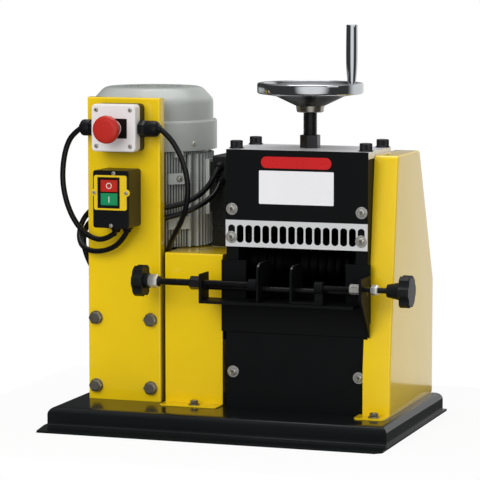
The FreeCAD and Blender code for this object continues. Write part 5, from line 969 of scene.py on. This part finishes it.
# ---------------------------------------------------------------- fan cowl
# A pressed steel cap over the cooling fan, with a wide skirt, a chamfered crown and ring slots.
# It has the motor's finish a shade darker, and three small screws hold its skirt to the case.
COWL_LOW = 0.391
COWL_STEP = 0.434
COWL_SHOULDER = 0.466
COWL_TOP = 0.4825
COWL_SKIRT_R = 0.0945
COWL_ROUND = 0.0025
COWL_WALL_R = 0.0890
COWL_FLAT_R = 0.0670
COWL_EYE_R = 0.042
COWL_SHEET = 0.0018
COWL_INNER_R = COWL_WALL_R - COWL_SHEET
COWL_LINER_R = COWL_SKIRT_R - COWL_SHEET
GRILLE_RINGS = (0.010, 0.020, 0.030)
GRILLE_RING = 0.0042
GRILLE_LOW = COWL_TOP - COWL_SHEET
SPOKES = 6
SPOKE_HALF = 0.003
COWL_SCREW_Z = 0.4015
COWL_SCREW_ANGLES = (-31.0, 89.0, 209.0)
COWL_GREY = (0.43, 0.455, 0.435, 1.0)
cowl_paint = finish_material("grey green satin paint", COWL_GREY, roughness=0.26,
                             grain_scale=700.0, relief=0.000003, shade=0.96, swing=0.08)
cowl = lathe([
    (COWL_SKIRT_R, COWL_LOW), (COWL_SKIRT_R, COWL_STEP - COWL_ROUND),
    *arc((COWL_SKIRT_R - COWL_ROUND, COWL_STEP - COWL_ROUND), COWL_ROUND, 0.0, 90.0, 4)[1:],
    (COWL_WALL_R + 0.0012, COWL_STEP), (COWL_WALL_R, COWL_STEP + 0.0012),
    (COWL_WALL_R, COWL_SHOULDER - 0.007), (COWL_WALL_R - 0.0006, COWL_SHOULDER - 0.003),
    (COWL_WALL_R - 0.0022, COWL_SHOULDER), (COWL_WALL_R - 0.0048, COWL_SHOULDER + 0.0028),
    (COWL_FLAT_R + 0.009, COWL_TOP - 0.0048), (COWL_FLAT_R + 0.005, COWL_TOP - 0.0018),
    (COWL_FLAT_R, COWL_TOP - 0.0003), (COWL_FLAT_R - 0.006, COWL_TOP), (COWL_EYE_R, COWL_TOP),
    (COWL_EYE_R, GRILLE_LOW), (COWL_FLAT_R, COWL_TOP - COWL_SHEET * 1.4),
    (COWL_WALL_R - 0.004, COWL_SHOULDER), (COWL_INNER_R, COWL_SHOULDER - 0.006),
    (COWL_INNER_R, COWL_STEP + 0.002), (COWL_LINER_R, COWL_STEP - 0.004),
    (COWL_LINER_R, COWL_LOW),
], steps=128)
for ring_r in GRILLE_RINGS:
    add(cowl, round_bar(ring_r, ring_r + GRILLE_RING, GRILLE_LOW, COWL_TOP - 0.0002, steps=64),
        UPWARD)
spoke = block((GRILLE_RINGS[0], COWL_EYE_R), (-SPOKE_HALF, SPOKE_HALF),
              (GRILLE_LOW + 0.0002, COWL_TOP - 0.0004))
for turn in range(SPOKES):
    add(cowl, spoke, Matrix.Rotation(math.radians(turn * 360.0 / SPOKES), 4, "Z"))
shift(cowl, MOTOR_X, MOTOR_Y)
made("fan_cowl_dressed", cowl, cowl_paint, nodes=("fan_cowl",), sharp=32.0)
button_screws("cowl_screws",
              [at(MOTOR_X, MOTOR_Y, COWL_SCREW_Z, Matrix.Rotation(math.radians(angle), 4, "Z"))
               @ at(COWL_SKIRT_R - 0.0002, 0, 0, RIGHTWARD) for angle in COWL_SCREW_ANGLES],
              button_head(radius=0.0036, height=0.0024, socket=0.0014))

# ---------------------------------------------------------------- terminal box
# A tall cast box on the motor's right flank takes both motor leads through its front.
# It is cast in aluminium with a short skirt at its foot, and painted satin black.
TERMINAL_SKIRT = 0.257
TERMINAL_DROP = 0.0018
TERMINAL_BLACK = (0.010, 0.0115, 0.0108, 1.0)
terminal_paint = finish_material("black satin paint on casting", TERMINAL_BLACK, roughness=0.30,
                                 grain_scale=480.0, relief=0.00002, specular=0.34)
terminal = softened("terminal_box", terminal_paint, edge=0.0010, segments=3)
for point in terminal.data.vertices:
    if point.co.z < TERMINAL_SKIRT:
        point.co.z -= TERMINAL_DROP

# ---------------------------------------------------------------- stop box
# A two-part moulded box on the tower: a black back shell and an ivory front shell with four screws.
# A bare black label lies round the red mushroom button, which pushes in.
STOP_FRONT = -0.100
STOP_SCREW_X = (-0.197, -0.145)
STOP_SCREW_Z = (0.403, 0.455)
LABEL_X = -0.171
LABEL_Z = 0.4285
LABEL_HALF = (0.021, 0.01425)
LABEL_HOLE_R = 0.0125
LABEL_THICK = 0.0004
IVORY = (0.80, 0.775, 0.775, 1.0)
MOULDED_BLACK = (0.0060, 0.0064, 0.0074, 1.0)
BUTTON_RED = (0.50, 0.017, 0.009, 1.0)
ivory = finish_material("ivory moulded plastic", IVORY, roughness=0.36, grain_scale=620.0,
                        relief=0.000012, shade=0.97)
moulded_black = finish_material("black moulded plastic", MOULDED_BLACK, roughness=0.34,
                                grain_scale=620.0, relief=0.00001, specular=0.22)
button_red = finish_material("red moulded plastic", BUTTON_RED, roughness=0.34,
                             grain_scale=520.0, relief=0.00001, shade=0.93)
softened("estop_base", moulded_black, edge=0.0006)
softened("estop_cover", ivory, edge=0.0008, segments=3)
label = round_bar(LABEL_HOLE_R, LABEL_HOLE_R * 1.2, 0.0, LABEL_THICK, steps=96)
for corner in label.verts:
    if corner.co.xy.length > LABEL_HOLE_R * 1.1:
        corner.co.xy *= min(half / max(abs(part), 0.00001)
                            for half, part in zip(LABEL_HALF, corner.co.xy))
made("bare_black_label", set_at([at(LABEL_X, STOP_FRONT, LABEL_Z, FORWARD)], label),
     moulded_black)
button_screws("stop_box_screws",
              [at(x, STOP_FRONT, z, FORWARD) for x in STOP_SCREW_X for z in STOP_SCREW_Z],
              button_head(radius=0.0034, height=0.0018, socket=0.0013))
softened("estop_button", button_red, edge=0.0012, body="estop_button", segments=3,
         sharp=20.0)

# ---------------------------------------------------------------- switch
# A moulded black switch box with a yellow faceplate, whose rim guards a red and a green button.
# The buttons carry plain O and I marks inlaid in white.
SWITCH_FACE = -0.112
BUTTON_FACE = -0.1125
BUTTON_X = -0.173
STOP_BUTTON_Z = 0.347
START_BUTTON_Z = 0.3274
EAR_X = (-0.195, -0.146)
EAR_Z = 0.3372
EAR_R = 0.0052
EAR_THICK = 0.0019
SWITCH_SCREW_PLACES = ((-0.166, 0.3650), (-0.1705, 0.2895))
MARK_THICK = 0.0003
RING_MARK_R = (0.0033, 0.0043)
BAR_MARK_HALF = (0.00055, 0.0045)
SWITCH_YELLOW = (0.80, 0.55, 0.008, 1.0)
GREEN = (0.008, 0.27, 0.105, 1.0)
MARK_WHITE = (0.78, 0.78, 0.76, 1.0)
switch_yellow = finish_material("yellow moulded plastic", SWITCH_YELLOW, roughness=0.34,
                                grain_scale=620.0, relief=0.00001, shade=0.96)
green = finish_material("green moulded plastic", GREEN, roughness=0.30, grain_scale=520.0,
                        relief=0.00001, shade=0.93)
mark_white = finish_material("white inlay", MARK_WHITE, roughness=0.45, grain_scale=620.0,
                             relief=0.00001, shade=0.96)
softened("switch_box", moulded_black, edge=0.0010, segments=3)
softened("switch_faceplate", switch_yellow, edge=0.0005)
softened("stop_button", button_red, edge=0.0004, body="stop_button")
softened("start_button", green, edge=0.0004, body="start_button")
ring_mark = set_at([at(BUTTON_X, BUTTON_FACE, STOP_BUTTON_Z, FORWARD)],
                   round_bar(*RING_MARK_R, 0.0, MARK_THICK, steps=40))
made("off_mark", ring_mark, mark_white, body="stop_button")
bar_mark = block((BUTTON_X - BAR_MARK_HALF[0], BUTTON_X + BAR_MARK_HALF[0]),
                 (BUTTON_FACE - MARK_THICK, BUTTON_FACE),
                 (START_BUTTON_Z - BAR_MARK_HALF[1], START_BUTTON_Z + BAR_MARK_HALF[1]))
made("on_mark", bar_mark, mark_white, body="start_button")
ear_disc = lathe([
    (0.0, 0.0), (EAR_R, 0.0), (EAR_R, EAR_THICK - WASHER_EASE), (EAR_R - WASHER_EASE, EAR_THICK),
    (0.0, EAR_THICK),
], steps=40)
made("switch_ears", set_at([at(x, SWITCH_FACE - 0.0002, EAR_Z, FORWARD) for x in EAR_X], ear_disc),
     switch_yellow)
button_screws("switch_screws_small",
              [at(x, SWITCH_FACE - 0.0002 - EAR_THICK, EAR_Z, FORWARD) for x in EAR_X]
              + [at(x, SWITCH_FACE, z, FORWARD) for x, z in SWITCH_SCREW_PLACES],
              button_head(radius=0.0030, height=0.0017, socket=0.0012))

# ---------------------------------------------------------------- glands and grommets
# Moulded glands with a hexagonal body and a fat domed nut clamp the leads at the stop box.
# Soft rubber grommets seal the leads into the switch, the terminal box and the base.
GLAND_Y = -0.083
GLAND_Z = 0.428
GLAND_R = 0.0125
DOME_R = GLAND_R * 0.95
LEFTWARD = Matrix.Rotation(math.radians(-90.0), 4, "Y")
DOWNWARD = Matrix.Rotation(math.radians(180.0), 4, "X")
GLANDS = ((-0.205, 0.024, LEFTWARD), (-0.137, 0.033, RIGHTWARD))
GROMMET_R = 0.0085
GROMMET_PROUD = 0.008
GROMMET_SEATS = (
    (-0.172, -0.088, 0.286, DOWNWARD), (-0.157, -0.082, 0.286, DOWNWARD),
    (-0.056, 0.030, 0.366, FORWARD), (-0.054, 0.030, 0.345, FORWARD),
    (-0.118, -0.036, 0.029, UPWARD), (-0.216, -0.031, 0.029, UPWARD),
)
glands = bmesh.new()
for root, length, turn in GLANDS:
    dome_round = length * 0.22
    dome = lathe([
        (0.0, length * 0.30), (GLAND_R * 0.90, length * 0.30), (DOME_R, length * 0.36),
        (DOME_R, length * 0.70),
        *arc((DOME_R - dome_round, length * 0.70), dome_round, 0.0, 75.0, 6),
        (GLAND_R * 0.42, length), (0.0, length),
    ], steps=48)
    for form in (hexagon(GLAND_R * 1.70, 0.0, length * 0.30, chamfer=0.0012), dome):
        add(glands, form, at(root, GLAND_Y, GLAND_Z, turn))
grommet = lathe([
    (0.0, -0.0005), (GROMMET_R, -0.0005), (GROMMET_R, GROMMET_PROUD * 0.28),
    (GROMMET_R * 0.93, GROMMET_PROUD * 0.40), (GROMMET_R * 0.76, GROMMET_PROUD * 0.52),
    (GROMMET_R * 0.70, GROMMET_PROUD * 0.90), (GROMMET_R * 0.62, GROMMET_PROUD),
    (0.0, GROMMET_PROUD),
], steps=40)
for seat in GROMMET_SEATS:
    add(glands, grommet, at(*seat))
made("glands_and_grommets", glands, moulded_black, nodes=("cable_glands",),
     sharp=40.0)

# ---------------------------------------------------------------- studio
# A small pale floor in a white room, with a white screen behind and one tall soft box in front.
# Three soft lamps light the machine evenly.  Gloss shows the screen and the soft box, but not the
# front lamp, and it shows the floor much darker than the camera does.
SCREEN = {"side": (0.42, 0.90, 0.0), "first": 0.62, "last": 0.92, "strength": 0.86}
SOFT_BOX = {"side": (0.36, -0.93, 0.05), "first": 0.74, "last": 0.97, "strength": 1.0}
CEILING = {"side": (0.0, 0.0, 1.0), "first": 0.35, "last": 0.95, "strength": 0.5}
ROOM_GLOW = 0.05
ROOM_LIGHT = 0.50
FLOOR_HALF = (0.43, 0.38)
FLOOR_GREY = (0.85, 0.85, 0.85, 1.0)
FLOOR_SHARE = 0.90
FLOOR_DIM = 0.10
WHITE_LIGHT = (1.0, 1.0, 1.0, 1.0)
# Each lamp's name, place, aim, width in metres and power in watts, and whether gloss shows it.
LAMPS = (
    ("front lamp", (-0.5, -2.6, 1.5), (0.0, 0.0, 0.25), 1.8, 44.0, False),
    ("right lamp", (2.0, -0.8, 1.2), (0.1, 0.0, 0.25), 1.0, 4.0, True),
    ("top lamp", (0.0, 0.4, 2.2), (0.0, 0.0, 0.2), 1.4, 16.0, True),
)


def brightest(tree, *sockets):
    """The highest of the sockets or values."""
    highest = sockets[0]
    for other in sockets[1:]:
        highest = wired(tree, "Math", {0: highest, 1: other}, operation="MAXIMUM").outputs[0]
    return highest


def towards(tree, side, first, last, strength):
    """`strength` in the directions near `side`, falling to 0 between the two cosines."""
    direction = wired(tree, "TexCoord", {}).outputs["Generated"]
    cosine = wired(tree, "VectorMath", {0: direction, 1: Vector(side).normalized()},
                   operation="DOT_PRODUCT").outputs["Value"]
    return wired(tree, "MapRange", {"Value": cosine, "From Min": first, "From Max": last,
                                    "To Max": strength},
                 interpolation_type="SMOOTHSTEP").outputs["Result"]


def empty_tree(owner):
    """The owner's node tree with nothing in it."""
    owner.use_nodes = True
    owner.node_tree.nodes.clear()
    return owner.node_tree


scene = bpy.context.scene
scene.view_settings.view_transform = "Standard"
scene.world = bpy.data.worlds.new("white surround")
sky = empty_tree(scene.world)
ray = wired(sky, "LightPath", {}).outputs
mirrored = brightest(sky, towards(sky, **SCREEN), towards(sky, **SOFT_BOX),
                     towards(sky, **CEILING), ROOM_GLOW)
seen = brightest(sky, ray["Is Camera Ray"], ray["Is Glossy Ray"], ray["Is Transmission Ray"])
seen_side = wired(sky, "Background", {"Strength": brightest(sky, ray["Is Camera Ray"], mirrored)})
light_side = wired(sky, "Background", {"Strength": ROOM_LIGHT})
for side in (seen_side, light_side):
    side.inputs["Color"].default_value = WHITE_LIGHT
surround = wired(sky, "MixShader", {
    "Fac": seen, 1: light_side.outputs["Background"], 2: seen_side.outputs["Background"]})
wired(sky, "OutputWorld", {"Surface": surround.outputs["Shader"]})

floor_form = bmesh.new()
bmesh.ops.create_grid(floor_form, x_segments=1, y_segments=1, size=1.0,
                      matrix=Matrix.Diagonal((*FLOOR_HALF, 1.0, 1.0)))
floor_mesh = bpy.data.meshes.new("floor")
floor_form.to_mesh(floor_mesh)
floor_form.free()
floor = bpy.data.objects.new("floor", floor_mesh)
scene.collection.objects.link(floor)
floor_paint = bpy.data.materials.new("pale floor")
floor_tree = empty_tree(floor_paint)
ray = wired(floor_tree, "LightPath", {}).outputs
matte = wired(floor_tree, "BsdfDiffuse", {"Color": FLOOR_GREY})
glow = wired(floor_tree, "Emission", {"Color": WHITE_LIGHT, "Strength": 1.0})
dim = wired(floor_tree, "Emission", {"Color": WHITE_LIGHT, "Strength": FLOOR_DIM})
glow_share = wired(floor_tree, "Math", {0: ray["Is Camera Ray"], 1: FLOOR_SHARE},
                   operation="MULTIPLY")
paint = wired(floor_tree, "MixShader", {
    "Fac": glow_share.outputs[0], 1: matte.outputs["BSDF"], 2: glow.outputs["Emission"]})
in_gloss = wired(floor_tree, "MixShader", {
    "Fac": ray["Is Glossy Ray"], 1: paint.outputs["Shader"], 2: dim.outputs["Emission"]})
wired(floor_tree, "OutputMaterial", {"Surface": in_gloss.outputs["Shader"]})
floor_mesh.materials.append(floor_paint)

for name, place, aim, size, power, in_reflections in LAMPS:
    light = bpy.data.lights.new(name, "AREA")
    light.size = size
    light.energy = power
    lamp = bpy.data.objects.new(name, light)
    lamp.location = place
    lamp.rotation_euler = (Vector(aim) - Vector(place)).to_track_quat("-Z", "Y").to_euler()
    lamp.visible_glossy = in_reflections
    scene.collection.objects.link(lamp)
